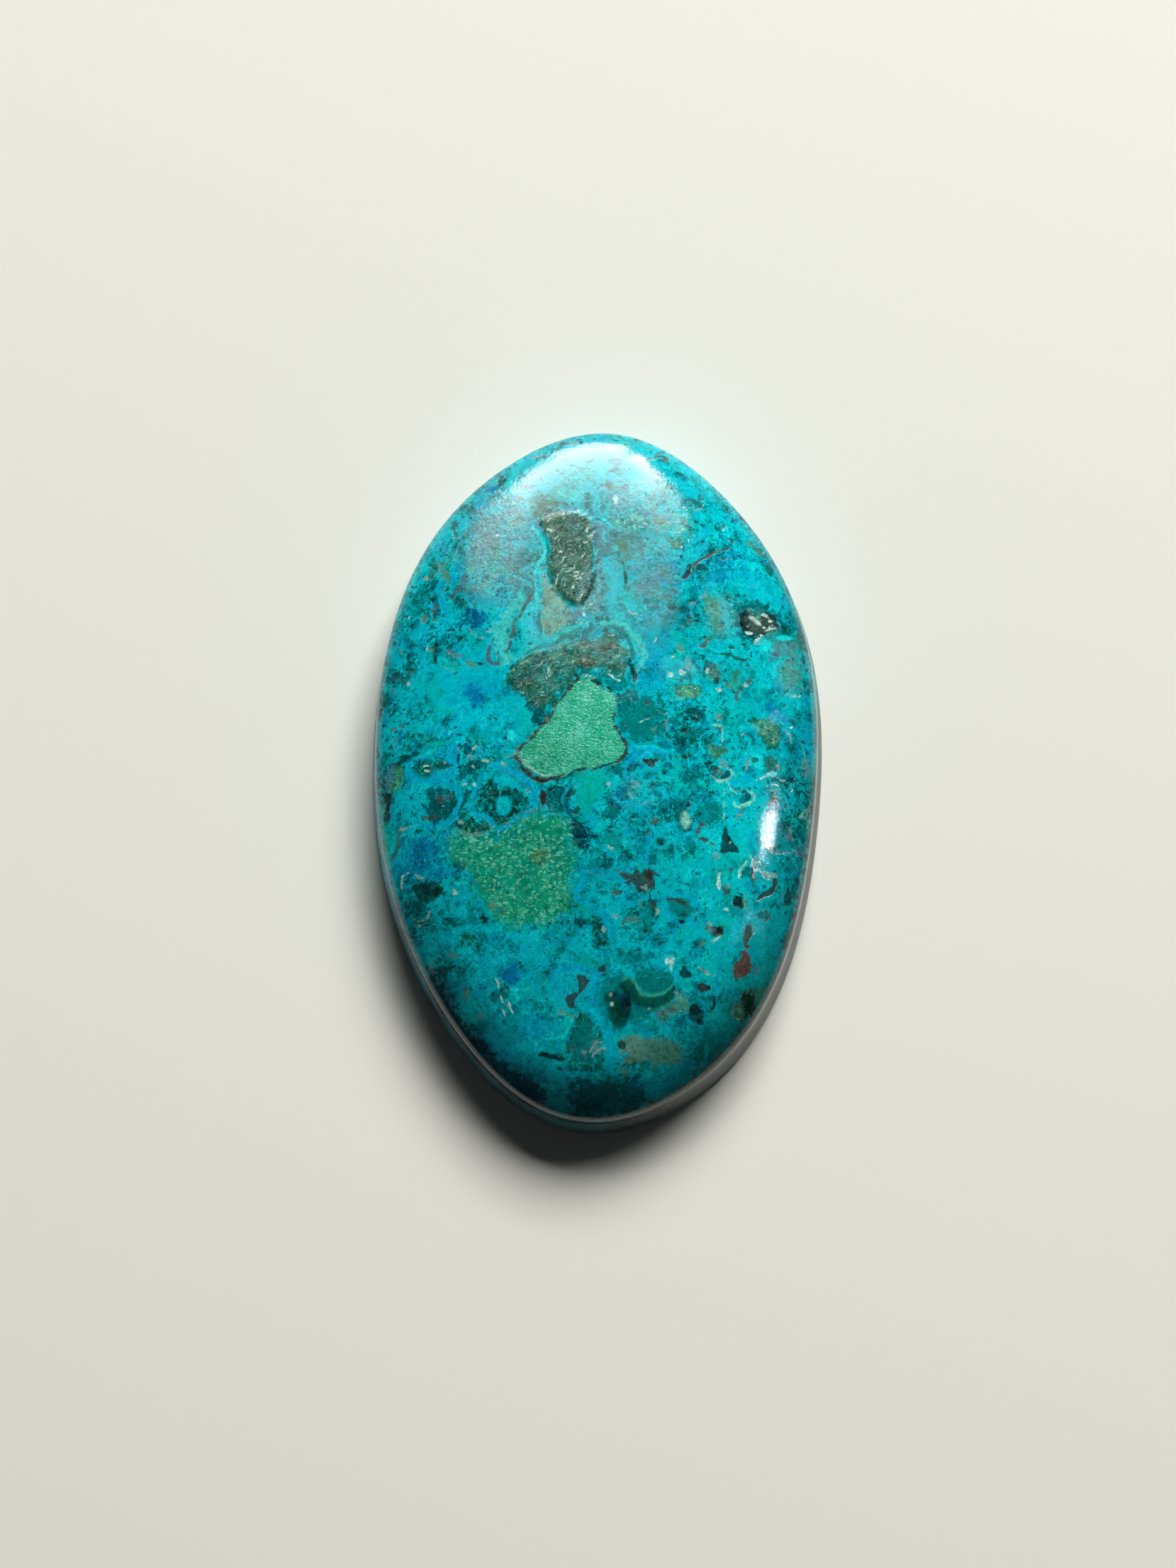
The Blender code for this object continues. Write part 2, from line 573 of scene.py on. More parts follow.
def spread(name, *rows):
    """Where a texture shows: 0 outside its shapes, up to their strength inside."""
    weight = np.zeros(len(plan))
    for strength, softness, *numbers in rows:
        curve, grown, depth_of = shape_of(numbers)
        near = points_near(curve, grown + softness)
        cover = covered_share(depth_of(plan[near]) / softness)
        weight[near] = np.maximum(weight[near], strength * cover * cover * (3 - 2 * cover))
    store_number(name, weight)
    print(name, "texture on", int((weight > 0.5).sum()), "points")


print("hollowed minerals:", ", ".join(HOLLOWS))


# %% [markdown]
# ## The ground
# Under the shapes the ground itself drifts between blues and greens, over millimetres. Such a
# drift has no edges, so it is some eighty soft clouds of colour, laid over each other. A few
# clouds are painted light: the navy ones along the lower-left rim are painted shade, the dark ones
# at the lower end are partly painted shade, and a haze cloud in the upper left is a painted
# reflection.

# %% Clouds of the ground: mineral, strength, x, y, half width, half length
CLOUDS = (
    ("turquoise", 0.8, -10.5, 11, 1.5, 3),
    ("teal", 0.7, -9.8, 9.6, 0.9, 0.9),
    # Painted reflection: this haze cloud lies where the window's haze is mirrored.
    ("haze", 0.7, -5.6, 12, 1.7, 2.6),
    ("slate", 0.6, -5.2, 9.6, 1.4, 1.2),
    ("turquoise", 0.6, -5.3, 9.9, 0.7, 0.7),
    ("haze", 0.5, 2.4, 13.4, 2.4, 1.6),
    ("slate", 0.4, 2.8, 9.4, 1, 1.4),
    ("sky", 0.7, 1.4, 9.3, 0.9, 1.6),
    ("sky", 0.4, -3.6, 7, 1, 1.4),
    ("azure", 0.7, -9.4, 7.4, 1.6, 1.6),
    ("cyan", 0.8, -8, 4.4, 2.2, 1.6),
    ("cyan", 0.7, -5.4, 4.8, 1.6, 1.2),
    ("blue", 0.7, -6.5, 3.7, 0.8, 0.8),
    ("azure", 0.6, -6.8, 2.4, 1.4, 1.2),
    ("teal", 0.7, -11.7, 4, 0.7, 4),
    ("teal", 0.8, -11, -0.4, 0.9, 1.8),
    ("blue", 0.5, -5, 1.6, 1, 1),
    ("cyan", 0.8, -3.9, 2.8, 1.2, 1.6),
    ("sky", 0.7, 3.6, 4.8, 1.2, 1.4),
    ("cyan", 0.7, 3.6, 7.4, 1.6, 1.4),
    ("blue", 0.5, 4.6, 9.4, 1.4, 1),
    ("azure", 0.9, 6, 9.3, 2.2, 1.5),
    ("sky", 0.6, 4.2, 4.6, 1, 1),
    ("azure", 0.5, 6.8, 7.4, 1.2, 0.8),
    ("azure", 0.8, 7.4, 10.6, 1.8, 1.6),
    ("blue", 0.8, 6.9, 11.2, 1.2, 0.8),
    ("blue", 0.6, 7.4, 10.3, 1, 0.7),
    ("cyan", 0.9, 8.9, 9.3, 1, 0.7),
    ("deep teal", 0.8, 9.4, 11.9, 1.3, 1.8),
    ("deep teal", 0.8, 7.6, 14.6, 1.2, 1.2),
    ("forest", 0.7, 11.2, 8.4, 0.8, 1.6),
    ("azure", 0.7, 6.2, 13, 1, 0.8),
    ("teal", 0.7, 6.4, 14.6, 1.2, 1),
    ("turquoise", 0.9, 6.6, 6.8, 2, 1),
    ("sky", 0.5, 5.4, 5.8, 1.2, 0.8),
    ("turquoise", 0.9, 7, 2.2, 1.6, 1.2),
    ("sky", 0.5, 6.4, 3, 0.9, 0.7),
    ("teal", 0.8, 10.2, 4.4, 1.6, 2.2),
    ("teal", 0.9, 10.9, -2.2, 1.5, 3),
    ("forest", 0.6, 11.4, -2.6, 1, 2.4),
    ("turquoise", 0.9, 5.6, -0.6, 2, 1.2),
    ("sky", 0.5, 6.6, -1.4, 1, 0.8),
    ("azure", 0.7, 2.6, -2.6, 1.8, 1.8),
    ("azure", 0.8, 4, -3.1, 1.2, 1.2),
    ("sky", 0.7, 8.2, -4.2, 0.8, 1.8),
    ("sky", 0.5, 8.4, -1.2, 0.8, 1.2),
    ("turquoise", 0.8, 5.6, -6.6, 2.2, 3),
    ("turquoise", 0.9, 8, -6.4, 1.6, 2.4),
    ("turquoise", 0.9, 7.4, -9.8, 1.8, 1.6),
    ("teal", 0.8, 10.6, -6.6, 1, 2.6),
    ("khaki", 0.5, 11.3, -5.6, 0.6, 1.4),
    ("turquoise", 0.5, 0.6, -3.9, 1.2, 1),
    ("cyan", 0.4, 1.4, -5.4, 1.4, 0.8),
    ("azure", 0.6, 2, -6.6, 1.2, 1),
    ("teal", 0.6, -0.4, -6.4, 0.8, 2.4),
    ("teal", 0.5, 0.2, -7.6, 1.2, 1.2),
    ("azure", 0.4, 3.6, -9.4, 1.4, 0.8),
    ("teal", 0.7, -6.2, -3.6, 2.6, 1.2),
    ("forest", 0.6, -6.8, -2.4, 1.4, 1.6),
    ("deep teal", 0.9, -6.1, -0.5, 1, 1.4),
    ("deep teal", 0.6, -3.4, -0.9, 0.9, 0.6),
    ("blue", 0.6, -9.2, -5, 1.4, 1.2),
    ("azure", 0.5, -7.6, -6.9, 1.2, 0.9),
    ("teal", 0.8, -6.4, -8.6, 1.4, 0.8),
    ("blue", 0.5, -4.6, -9.8, 1.6, 0.7),
    ("blue", 0.5, -2.4, -9.4, 1.2, 0.6),
    ("teal", 0.6, -1, -9.2, 1, 1.4),
    ("teal", 0.8, -8.2, -11, 2, 2),
    ("deep teal", 0.7, -8.8, -10.4, 1, 1.4),
    ("teal", 0.6, -5.8, -13.4, 1.8, 1.8),
    ("azure", 0.5, -3, -14.2, 0.9, 0.7),
    ("turquoise", 0.6, -3, -12, 1.2, 1.4),
    ("deep teal", 0.7, 1.6, -13, 1, 1.2),
    ("teal", 0.6, 4.4, -13.4, 1.4, 1),
    # Partly painted shade: the next two clouds darken the lower end towards its rim.
    ("teal", 0.8, 0, -17, 6, 1.5),
    ("deep teal", 0.9, 0, -18.2, 4.4, 1.4),
    ("forest", 0.6, 5.2, -15.2, 2, 1.5),
    ("deep teal", 0.8, 6, -15.6, 1.6, 1.2),
    ("forest", 0.7, 7.8, -13.4, 1.4, 1.6),
    ("olive", 0.5, 8.9, -12.4, 0.8, 1.6),
    # Painted shade: the four navy clouds along the lower-left rim.
    ("navy", 0.9, -9.6, -9.6, 0.9, 1.8),
    ("navy", 0.9, -8.2, -12.6, 1, 1.8),
    ("navy", 0.95, -6.3, -15.2, 1.2, 1.4),
    ("navy", 0.95, -4.2, -17.3, 1.3, 1.1),
)

ground = np.tile(MINERALS["cyan"], (len(plan), 1))
for mineral, strength, x, y, wide, high in CLOUDS:
    away = ((plan[:, 0] - x) / wide) ** 2 + ((plan[:, 1] - y) / high) ** 2
    cover = strength * np.exp(-away)
    ground += (MINERALS[mineral] - ground) * cover[:, None]
store_colour("ground tint", ground)
print("ground:", len(CLOUDS), "clouds")

# %% [markdown]
# ## Areas
# The large pieces of the pattern have a ragged but clear edge: the pale green window in the
# middle, the fibrous dark patches above it, the ring-shaped growths at the left, the soft green
# malachite below them. Each is an outline of as few corners as its form needs. A row holds the
# mineral, how soft the edge is, and the corners' x and y in turn, in millimetres from the middle
# of the stone. Four or five numbers after the softness are an oval instead: its middle, half its
# width and height, and sometimes its turn in degrees.

# %% The upper third
areas = Layer("area")
areas.lay_all(
    ("olive", 0.12, -8.85, 11.45, -8.5, 11.35, -8.6, 10.9, -8.8, 10.5, -9.1, 10.4, -9.2, 10.9),
    ("deep teal", 0.2, -9.4, 10.4, -8.6, 10.5, -8.5, 9.9, -9, 9.8),
    ("azure", 0.05, -7.6, 11.15, -7.05, 11.05, -7.05, 10.75, -7.25, 10.4, -7.45, 9.95, -7.9, 9.35,
     -7.75, 9.8, -7.8, 10.2, -7.85, 10.75),
    ("mauve", 0.08, -7.05, 10.85, -6.8, 10.3, -6.85, 9.8, -7, 9.5, -7.4, 9.35, -7.6, 9.2, -7.5, 8.5,
     -7.8, 9, -7.9, 9.2, -7.4, 9.8, -7.2, 10.2),
    ("deep blue", 0.3, -7.1, 8.2, -6.4, 8.4, -5.8, 8, -5.9, 7.4, -6.5, 7.3, -7.1, 7.7),
    ("deep teal", 0.12, -8.95, 9.3, -8.6, 9.2, -8.6, 8.2, -8.7, 7.3, -8.5, 6.6, -8.3, 6.2, -8.5, 5.9,
     -8.65, 5.5, -8.85, 5.55, -8.9, 6.2, -8.95, 7.2, -8.85, 8.2),
    ("teal", 0.3, -9.9, 9.8, -9.3, 9.9, -9.1, 9.4, -9.3, 8.8, -9.9, 8.9),
    ("deep teal", 0.25, -10.3, 6.2, -9.9, 6.2, -9.8, 5.2, -10, 4.7, -10.3, 5.2),
    ("blue", 0.3, -6.9, 4.2, -6.2, 4.1, -6, 3.2, -6.6, 3.1, -7, 3.5),
    ("fog", 0.15, -2.8, 10.25, -2.45, 9.55, -2.05, 9.25, -1.7, 8.85, -1.2, 8.3, -0.95, 7.7, -1.1, 7.45,
     -1.75, 7.35, -2.4, 6.85, -2.7, 7, -2.9, 8, -2.9, 9.05),
    ("forest", 0.15, -3.2, 14.2, -2.4, 14.1, -1.2, 13.9, -0.3, 13.4, -0.1, 12.4, -0.05, 11.2,
     -0.05, 10.5, -0.25, 9.9, -0.4, 9.25, -0.65, 8.7, -1.1, 8.45, -1.7, 8.9, -2.05, 9.25, -2.45, 9.55,
     -2.5, 10.45, -2.45, 11.15, -2.3, 12.2, -2.9, 13),
    ("olive", 0.3, -3.4, 14.6, -2.4, 14.7, -2, 14.2, -2.6, 13.7, -3.4, 13.6),
    ("slate", 0.2, 0, 13.2, 1, 12.8, 1.2, 12, 0.6, 11.5, 0.1, 11.7, -0.2, 12.4),
    ("slate", 0.2, 0.1, 11.4, 0.6, 11.3, 0.6, 10.2, 0.7, 9.3, 0.4, 8.7, 0, 8.9, 0, 10.2),
    ("haze", 0.3, -0.6, 10.2, 0.1, 10.2, 0.3, 8.4, -0.4, 8.2, -0.9, 8.4),
    ("slate", 0.15, -1.4, 8.3, -0.9, 8.3, -0.8, 7.6, -1.3, 7.4),
    ("cyan", 0.12, 0.55, 11.3, 0.9, 11.4, 1.4, 11.15, 1.6, 10.7, 1.55, 10.1, 1.4, 9.4, 1.2, 9, 1.4, 8,
     1.3, 7.6, 0.85, 7.6, 0.75, 8.3, 0.5, 9, 0.85, 9.55, 0.7, 10.1, 0.45, 10.6),
    ("khaki", 0.5, 1.2, 12.6, 1.9, 12.2, 2, 11.4, 1.7, 10.8, 1.3, 11.6),
    ("khaki", 0.35, 4.2, 12.7, 4.9, 12.6, 5.1, 12.1, 4.6, 11.8, 4.2, 12.1),
    ("blue", 0.3, 2.8, 10.3, 3.5, 10.4, 3.6, 9.8, 3, 9.6),
    ("azure", 0.25, 2.6, 7.9, 3.1, 8, 3.2, 7.5, 2.7, 7.4),
    ("lichen", 0.3, 6, 9, 6.6, 8.9, 6.9, 8, 6.9, 7.2, 6.4, 7.1, 6.1, 7.8),
    ("deep teal", 0.3, 7.3, 8.9, 8.6, 9, 9.8, 8.5, 10.2, 7.4, 9.2, 6.9, 8.2, 6.6, 7.5, 7.2),
    ("bottle", 0.25, 9.8, 8.2, 10.8, 7.9, 11.5, 7.4, 11.9, 6.4, 11.3, 6.6, 10.8, 7.2, 10, 7.4),
    ("turquoise", 0.3, 9.5, 7.2, 10.4, 7.2, 11.1, 6.9, 11, 6.4, 10, 6.6, 9.2, 6.6),
    ("slate", 0.3, 9.4, 6.6, 10.8, 6.9, 11, 6.2, 10.2, 5.8, 9.4, 5.8),
    ("lichen", 0.4, 10.2, 6.2, 10.9, 6, 11, 4.6, 10.6, 3.9, 10.1, 4.6),
    ("jade", 0.25, 7.1, 4.4, 7.5, 4.8, 7.9, 4.9, 7.9, 4.1, 7.6, 3.7, 7.2, 3.9),
)

# %% The mushroom-shaped patch and the dark fibrous ground beside it
areas.lay_all(
    ("forest", 0.15, -4.3, 5.2, -3.6, 5.9, -2.6, 6, -1.8, 6.35, -1.4, 6.1, -1.65, 5.3, -1.9, 4.7,
     -1.9, 4.1, -2.1, 3.4, -2.5, 2.9, -2.9, 2.6, -3.3, 3.1, -3.9, 3.7, -4.7, 4.1, -4.8, 4.6),
    ("deep teal", 0.2, -3.6, 3.6, -2.8, 3, -2.8, 2.1, -3.3, 1.9, -3.3, 2.6, -3.6, 3.1),
    ("bottle", 0.15, -3.5, 5.6, -3, 5.75, -2.65, 5.55, -2.8, 5.1, -3.1, 4.75, -3.4, 4.4, -3.75, 4.15,
     -4.15, 4.1, -4.6, 4.3, -4.2, 4.7, -3.85, 4.75, -3.4, 5.05),
    ("lichen", 0.15, -2.5, 6.05, -1.8, 6.3, -1.45, 6.15, -1.6, 5.7, -2.1, 5.6),
    ("forest", 0.3, -1.5, 6.3, -0.7, 6.2, -0.7, 5, -1, 4.5, -1.6, 3.8, -2.3, 3, -2.3, 4, -1.9, 5),
    ("olive", 0.1, 0, 6.55, 0.3, 6.85, 0.7, 6.95, 1.1, 6.7, 1.5, 6.35, 1.9, 6.05, 1.9, 5.75, 1.4, 5.55,
     1.6, 5.2, 1.65, 4.8, 1.45, 4.4, 1.1, 4.55, 0.85, 4.85, 0, 5.05, -0.55, 5.1, -0.95, 5.45,
     -0.95, 5.75, -1.2, 6.25, -1.5, 6.3, -1.1, 6.55, -0.65, 6.7, -0.3, 6.5),
    ("deep teal", 0.2, 1.7, 5.6, 2.15, 5.5, 2.2, 4.4, 2.1, 3.8, 1.7, 4.2, 1.8, 4.9),
    ("teal", 0.2, -0.8, 5, 0.7, 4.9, 1.6, 4.4, 1.9, 3.9, 1.2, 3.6, 0.5, 4, -0.4, 4.55, -1, 4.6),
    ("azure", 0.2, 2.4, 6.4, 3.2, 6.3, 3.7, 5.7, 3.9, 5, 3.8, 4.2, 3.2, 3.6, 2.6, 3.7, 2.3, 4.3,
     2.3, 5.5),
)

# %% The pale green window
WINDOW = (
    -0.93, 4.32, -0.32, 4.46, 0.43, 3.97, 1.03, 3.55, 1.2, 3.3, 1.03, 2.7, 1, 2, 1.17, 1.53, 1.5, 1.1,
    1.65, 0.57, 1.31, 0.05, 0.56, -0.23, -0.32, -0.37, -1.07, -0.53, -1.69, -0.87, -2.58, -0.91,
    -3.26, -0.6, -3.8, -0.12, -4.14, 0.36, -3.86, 0.77, -3.45, 1, -3.35, 1.4, -2.98, 1.81, -2.44, 2.22,
    -2.1, 2.98, -1.49, 3.6,
)
areas.lay_all(
    ("turquoise", 0.2, -0.9, -0.6, 0.6, -0.5, 0.7, -1, 0.3, -1.8, 0, -2.3, -0.4, -2.9, -0.9, -2.5,
     -1, -1.6),
    ("teal", 0.4, 1.2, 3.2, 2.3, 3.6, 3.5, 3.2, 4.1, 2.4, 4, 1.3, 3.2, 1, 2.2, 1.1, 1.4, 1.5),
    ("window green", 0.05, *WINDOW),
    ("jade", 1.2, -2.7, 0.1, 0.9, 0.5),
    ("umber", 0.06, 1.2, 3.5, 1.6, 3.6, 1.75, 3.85, 2.2, 3.9, 2.35, 3.6, 2.3, 3.3, 1.6, 3.25,
     1.35, 2.95, 1.15, 3.1),
    ("umber", 0.07, -1.4, -0.8, -1.8, -0.97, -2.4, -1.02, -3, -0.9, -3.5, -0.5, -4, -0.1, -3.9, -0.4,
     -3.6, -0.75, -3.2, -1.05, -2.9, -1.25, -2.5, -1.25, -2, -1.1),
)

# %% The ring-shaped growths at the left
areas.lay_all(
    ("bottle", 0.12, -9.55, 1.65, -9.2, 1.7, -9, 1.5, -8.65, 1.7, -8.5, 1.6, -8.5, 1.4, -8.7, 1.25,
     -9, 1.05, -9.3, 0.95, -9.6, 0.9, -9.7, 1.2, -9.45, 1.35),
    ("azure", 0.2, -10.1, 0.4, -10.15, -0.2, -9.8, -0.7, -9, -1, -7.75, -1, -7.2, -0.7, -7.2, 0.3,
     -7.3, 1.1, -7.9, 1.3, -8.5, 1.1, -9.2, 0.7),
    ("forest", 0.15, -9.6, 0.2, -9, 0.25, -8.4, 0.35, -8, 0.15, -7.95, -0.2, -8.5, -0.35, -9, -0.7,
     -9.5, -0.6, -9.75, -0.2),
    ("deep teal", 0.12, -7, 1.1, -6.5, 0.95, -5.95, 1.05, -5.8, 0.5, -5.95, 0.15, -5.3, 0.2,
     -5.25, 0.05, -5.7, -0.15, -6.05, -0.2, -6.45, -0.5, -6.85, -0.75, -7.3, -1.3, -7.3, -0.7,
     -7.15, 0.1),
    ("cyan", 0.15, -10.7, -1.1, -10, -1.3, -9.2, -1.1, -8.9, -1.6, -9.2, -2.3, -9.3, -3, -10, -3.2,
     -10.6, -2.8, -10.9, -2.1, -10.95, -1.5),
    ("deep teal", 0.12, -9, -1.2, -8, -1.3, -7.4, -1.8, -7.4, -2.4, -7.8, -3, -8.7, -3.2, -9.1, -2.7,
     -9, -2),
    ("umber", 0.12, -11.3, 0.15, -10.6, 0.15, -10.3, -0.1, -10.4, -0.8, -10.75, -1, -11.05, -1.55,
     -11.1, -2.2, -11, -2.85, -11.5, -2.9, -11.55, -2.2, -11.85, -1.5, -11.95, -0.5, -11.6, -0.2),
    ("bottle", 0.15, -5.6, -1, -5.3, -1.5, -4.4, -1.5, -3.7, -1.7, -3.6, -2.5, -4.2, -3, -5.2, -3.4,
     -5.9, -2.6, -6.2, -2, -5.9, -1.2),
    ("cyan", 0.06, -5.2, -2.05, -4.7, -1.95, -4.4, -2.2, -4.5, -2.75, -4.75, -2.95, -5.1, -2.95,
     -5.25, -2.5),
    ("cyan", 0.15, -5.2, -0.75, -4.5, -0.8, -4.2, -1.2, -4.7, -1.5, -5.2, -1.4, -5.3, -1.1),
    ("bottle", 0.2, -7.1, -1.3, -6.7, -1.6, -6.9, -2.3, -6.4, -3, -5.7, -3.6, -6.5, -3.95, -7.6, -3.9,
     -7.3, -3, -7.1, -2.2),
    ("deep teal", 0.15, -2.45, -1.4, -1.7, -1.4, -1.5, -2.2, -1.7, -3, -2.5, -2.7, -2.6, -1.9),
)

# %% The malachite and the dark ellipse in the lower left
areas.lay_all(
    ("malachite", 0.5, -7.6, -4.1, -8, -4.6, -7.9, -5, -7.3, -5.5, -6.7, -5.9, -6.5, -6.3, -6.6, -6.9,
     -6.2, -7.4, -5.9, -7.7, -5.3, -8.3, -4.9, -8.8, -4.3, -8.9, -3.4, -8.7, -2.6, -8.9, -1.9, -8.6,
     -1.2, -7.7, -1, -6.9, -1.2, -6, -0.95, -5.2, -1.1, -4.5, -1.2, -3.6, -1.5, -3.1, -2.6, -3,
     -3.5, -2.9, -4, -3.3, -4.5, -3.9, -5.5, -4.1, -6.5, -4.2),
    ("ochre", 0.25, -3.4, -5.2, -3, -4.8, -2.5, -4.9, -2.4, -5.2, -2.8, -5.45, -3.2, -5.4),
    ("blue", 0.35, -10.3, -4.1, -9.3, -4, -8.3, -4.2, -8, -5, -8.2, -5.8, -8.6, -6.3, -9.8, -6.1,
     -10.6, -5.8, -10.5, -5),
    ("turquoise", 0.15, -11.7, -3.1, -11.1, -3.1, -10.85, -4, -11, -4.6, -11.3, -5, -11.6, -4.3),
    ("deep teal", 0.25, -10.2, -7.2, -9.4, -7.3, -8.8, -7.5, -8.9, -8, -9.6, -8.2, -10.2, -8),
    ("forest", 0.12, -8.7, -6.6, -8.3, -6.6, -8.1, -6.85, -8.3, -7.1, -8.7, -7.1),
    ("forest", 0.3, -7, -9.2, -6.3, -9.2, -6, -10, -6.6, -10.3, -7.1, -9.9),
    ("bottle", 0.25, -6.3, -8.1, -5.7, -8.1, -5.6, -8.6, -6.1, -8.8),
)

# %% The right half
areas.lay_all(
    ("umber", 0.08, 5.8, 5.05, 6, 5.45, 6.4, 5.4, 6.6, 4.95, 6.85, 4.45, 6.75, 4.15, 6.45, 4.2,
     6.2, 4.55, 5.95, 4.9),
    ("olive", 0.1, 4.4, 3.9, 4.7, 4.05, 5.5, 4.1, 5.8, 3.9, 5.5, 3.5, 4.9, 3.4, 4.5, 3.45),
    ("deep teal", 0.3, 4.2, 2.3, 4.6, 2.9, 5.4, 3, 6, 2.9, 6, 2.3, 5.7, 1.7, 5.8, 1.1, 5.2, 0.7,
     4.6, 0.4, 4.1, 0.9, 4, 1.8),
    ("olive", 0.12, 5.9, 1, 6.3, 0.85, 6.9, 0.55, 7, 0.4, 6.6, 0.2, 6.3, 0.15, 6.1, 0.5),
    ("forest", 0.12, 8.3, 2.2, 8.7, 2.35, 9.1, 2.4, 9.5, 2.3, 9.8, 2.1, 10, 1.9, 9.95, 1.4, 9.8, 1,
     9.6, 0.75, 9.2, 0.8, 9, 1.1, 8.75, 1.5, 8.8, 1.9),
    ("blue", 0.25, 9.1, 3.3, 9.6, 3.3, 10.2, 2.8, 10.4, 2.3, 9.9, 2.3, 9.3, 2.6),
    ("sky", 0.2, 8.1, 0.2, 8.5, 0.5, 9, 0.3, 9.05, -0.2, 8.6, -0.45, 8.15, -0.3),
    ("olive", 0.15, 9.1, 0.2, 9.7, 0.2, 9.95, -0.1, 9.6, -0.35, 9.15, -0.3),
    ("haze", 0.2, 11.2, 0.3, 11.6, 0.3, 11.7, -0.3, 11.4, -0.6, 11.1, -0.3),
    ("teal", 0.15, 5.6, -2.4, 6.4, -2.3, 6.9, -2.8, 6.8, -3.3, 6.2, -3.7, 5.6, -3.4, 5.4, -2.9),
    ("deep teal", 0.1, 6.75, -0.5, 7.15, -0.5, 7.3, -0.75, 7, -1, 6.7, -0.9),
    ("deep teal", 0.1, 7.8, -1.85, 8.3, -1.8, 8.45, -2.05, 8.15, -2.3, 7.8, -2.3),
    ("bottle", 0.06, 7.2, -7.6, 7.55, -7.25, 7.85, -7.2, 7.85, -8, 7.6, -7.85),
    ("teal", 0.2, 2.5, -7.6, 3.1, -7.5, 3.3, -8.2, 3, -9, 2.6, -9.2, 2, -9, 1.6, -8.5, 2, -8),
    ("navy", 0.2, -1.3, -3.1, -0.6, -3.3, -0.1, -3.8, -0.1, -4.8, -0.8, -4.9, -1.2, -4.4, -1.3, -3.8),
    ("bottle", 0.2, 0, -8.4, 0.3, -8.6, 0.55, -9, 0.7, -9.6, 0.6, -10.2, 0, -10.1, -0.1, -9.3),
    ("azure", 0.12, 1.2, -6.4, 1.8, -6.4, 2.4, -6.5, 2.45, -6.85, 1.8, -6.95, 1.3, -6.75),
    ("cyan", 0.15, -1.3, -9.7, -0.9, -9.5, -0.6, -9.8, -0.65, -10.2, -1, -10.35, -1.35, -10.1),
)

# %% The lower end
areas.lay_all(
    ("cyan", 0.25, -2, -10.8, -1.3, -11.3, -0.2, -11.3, 0.1, -11.8, 0, -12.8, -0.3, -13.3, -1, -13.3,
     -1.5, -13.5, -2, -13, -2.2, -12.2, -2, -11.6),
    ("forest", 0.25, -0.9, -13.5, -0.3, -13.8, 0.2, -14.4, 0.4, -15, 0.4, -15.8, 0, -16.3, -1, -16.4,
     -1.5, -15.6, -1.5, -14.6, -1.3, -14.1),
    ("navy", 0.3, 1, -12.2, 1.5, -12.2, 2, -12.8, 2.2, -13.5, 1.6, -13.9, 1.1, -13.4),
    ("teal", 0.12, 2.2, -11.4, 3, -11.1, 3.9, -11.4, 3.9, -12, 3.5, -12.4, 3, -12.5, 2.5, -12.3,
     2.2, -11.9),
    # Partly painted shade: the navy patch at the lower rim.
    ("navy", 0.4, -1.4, -17, 0.9, -17, 1.1, -17.8, 0, -18.4, -1.6, -18.2),
    ("bottle", 0.2, 7.7, -12.5, 8.3, -12.4, 8.6, -12.8, 8.4, -13.5, 7.9, -13.5, 7.6, -13),
    ("teal", 0.3, 7.1, -10.6, 7.9, -10.4, 8.3, -10.9, 8.1, -11.5, 7.5, -11.6, 7.1, -11.2),
    ("deep blue", 0.3, -4.8, -11.1, -4.2, -11.1, -4.1, -11.6, -4.7, -11.7),
)
areas.store()

# %% [markdown]
# ## Veins and rims
# Thin strokes hold the pattern together: bright rims where one mineral grew round another, brown
# cracks, cream threads. A stroke is the line through a few corners, and gets thinner at its ends.
# Its row holds the mineral, the softness, the width, and the corners' x and y in turn.

# %% Veins of the upper half
veins = Layer("vein")


def draw(*strokes):
    for mineral, softness, width, *corners in strokes:
        veins.lay(mineral, softness, vein(width, *corners))


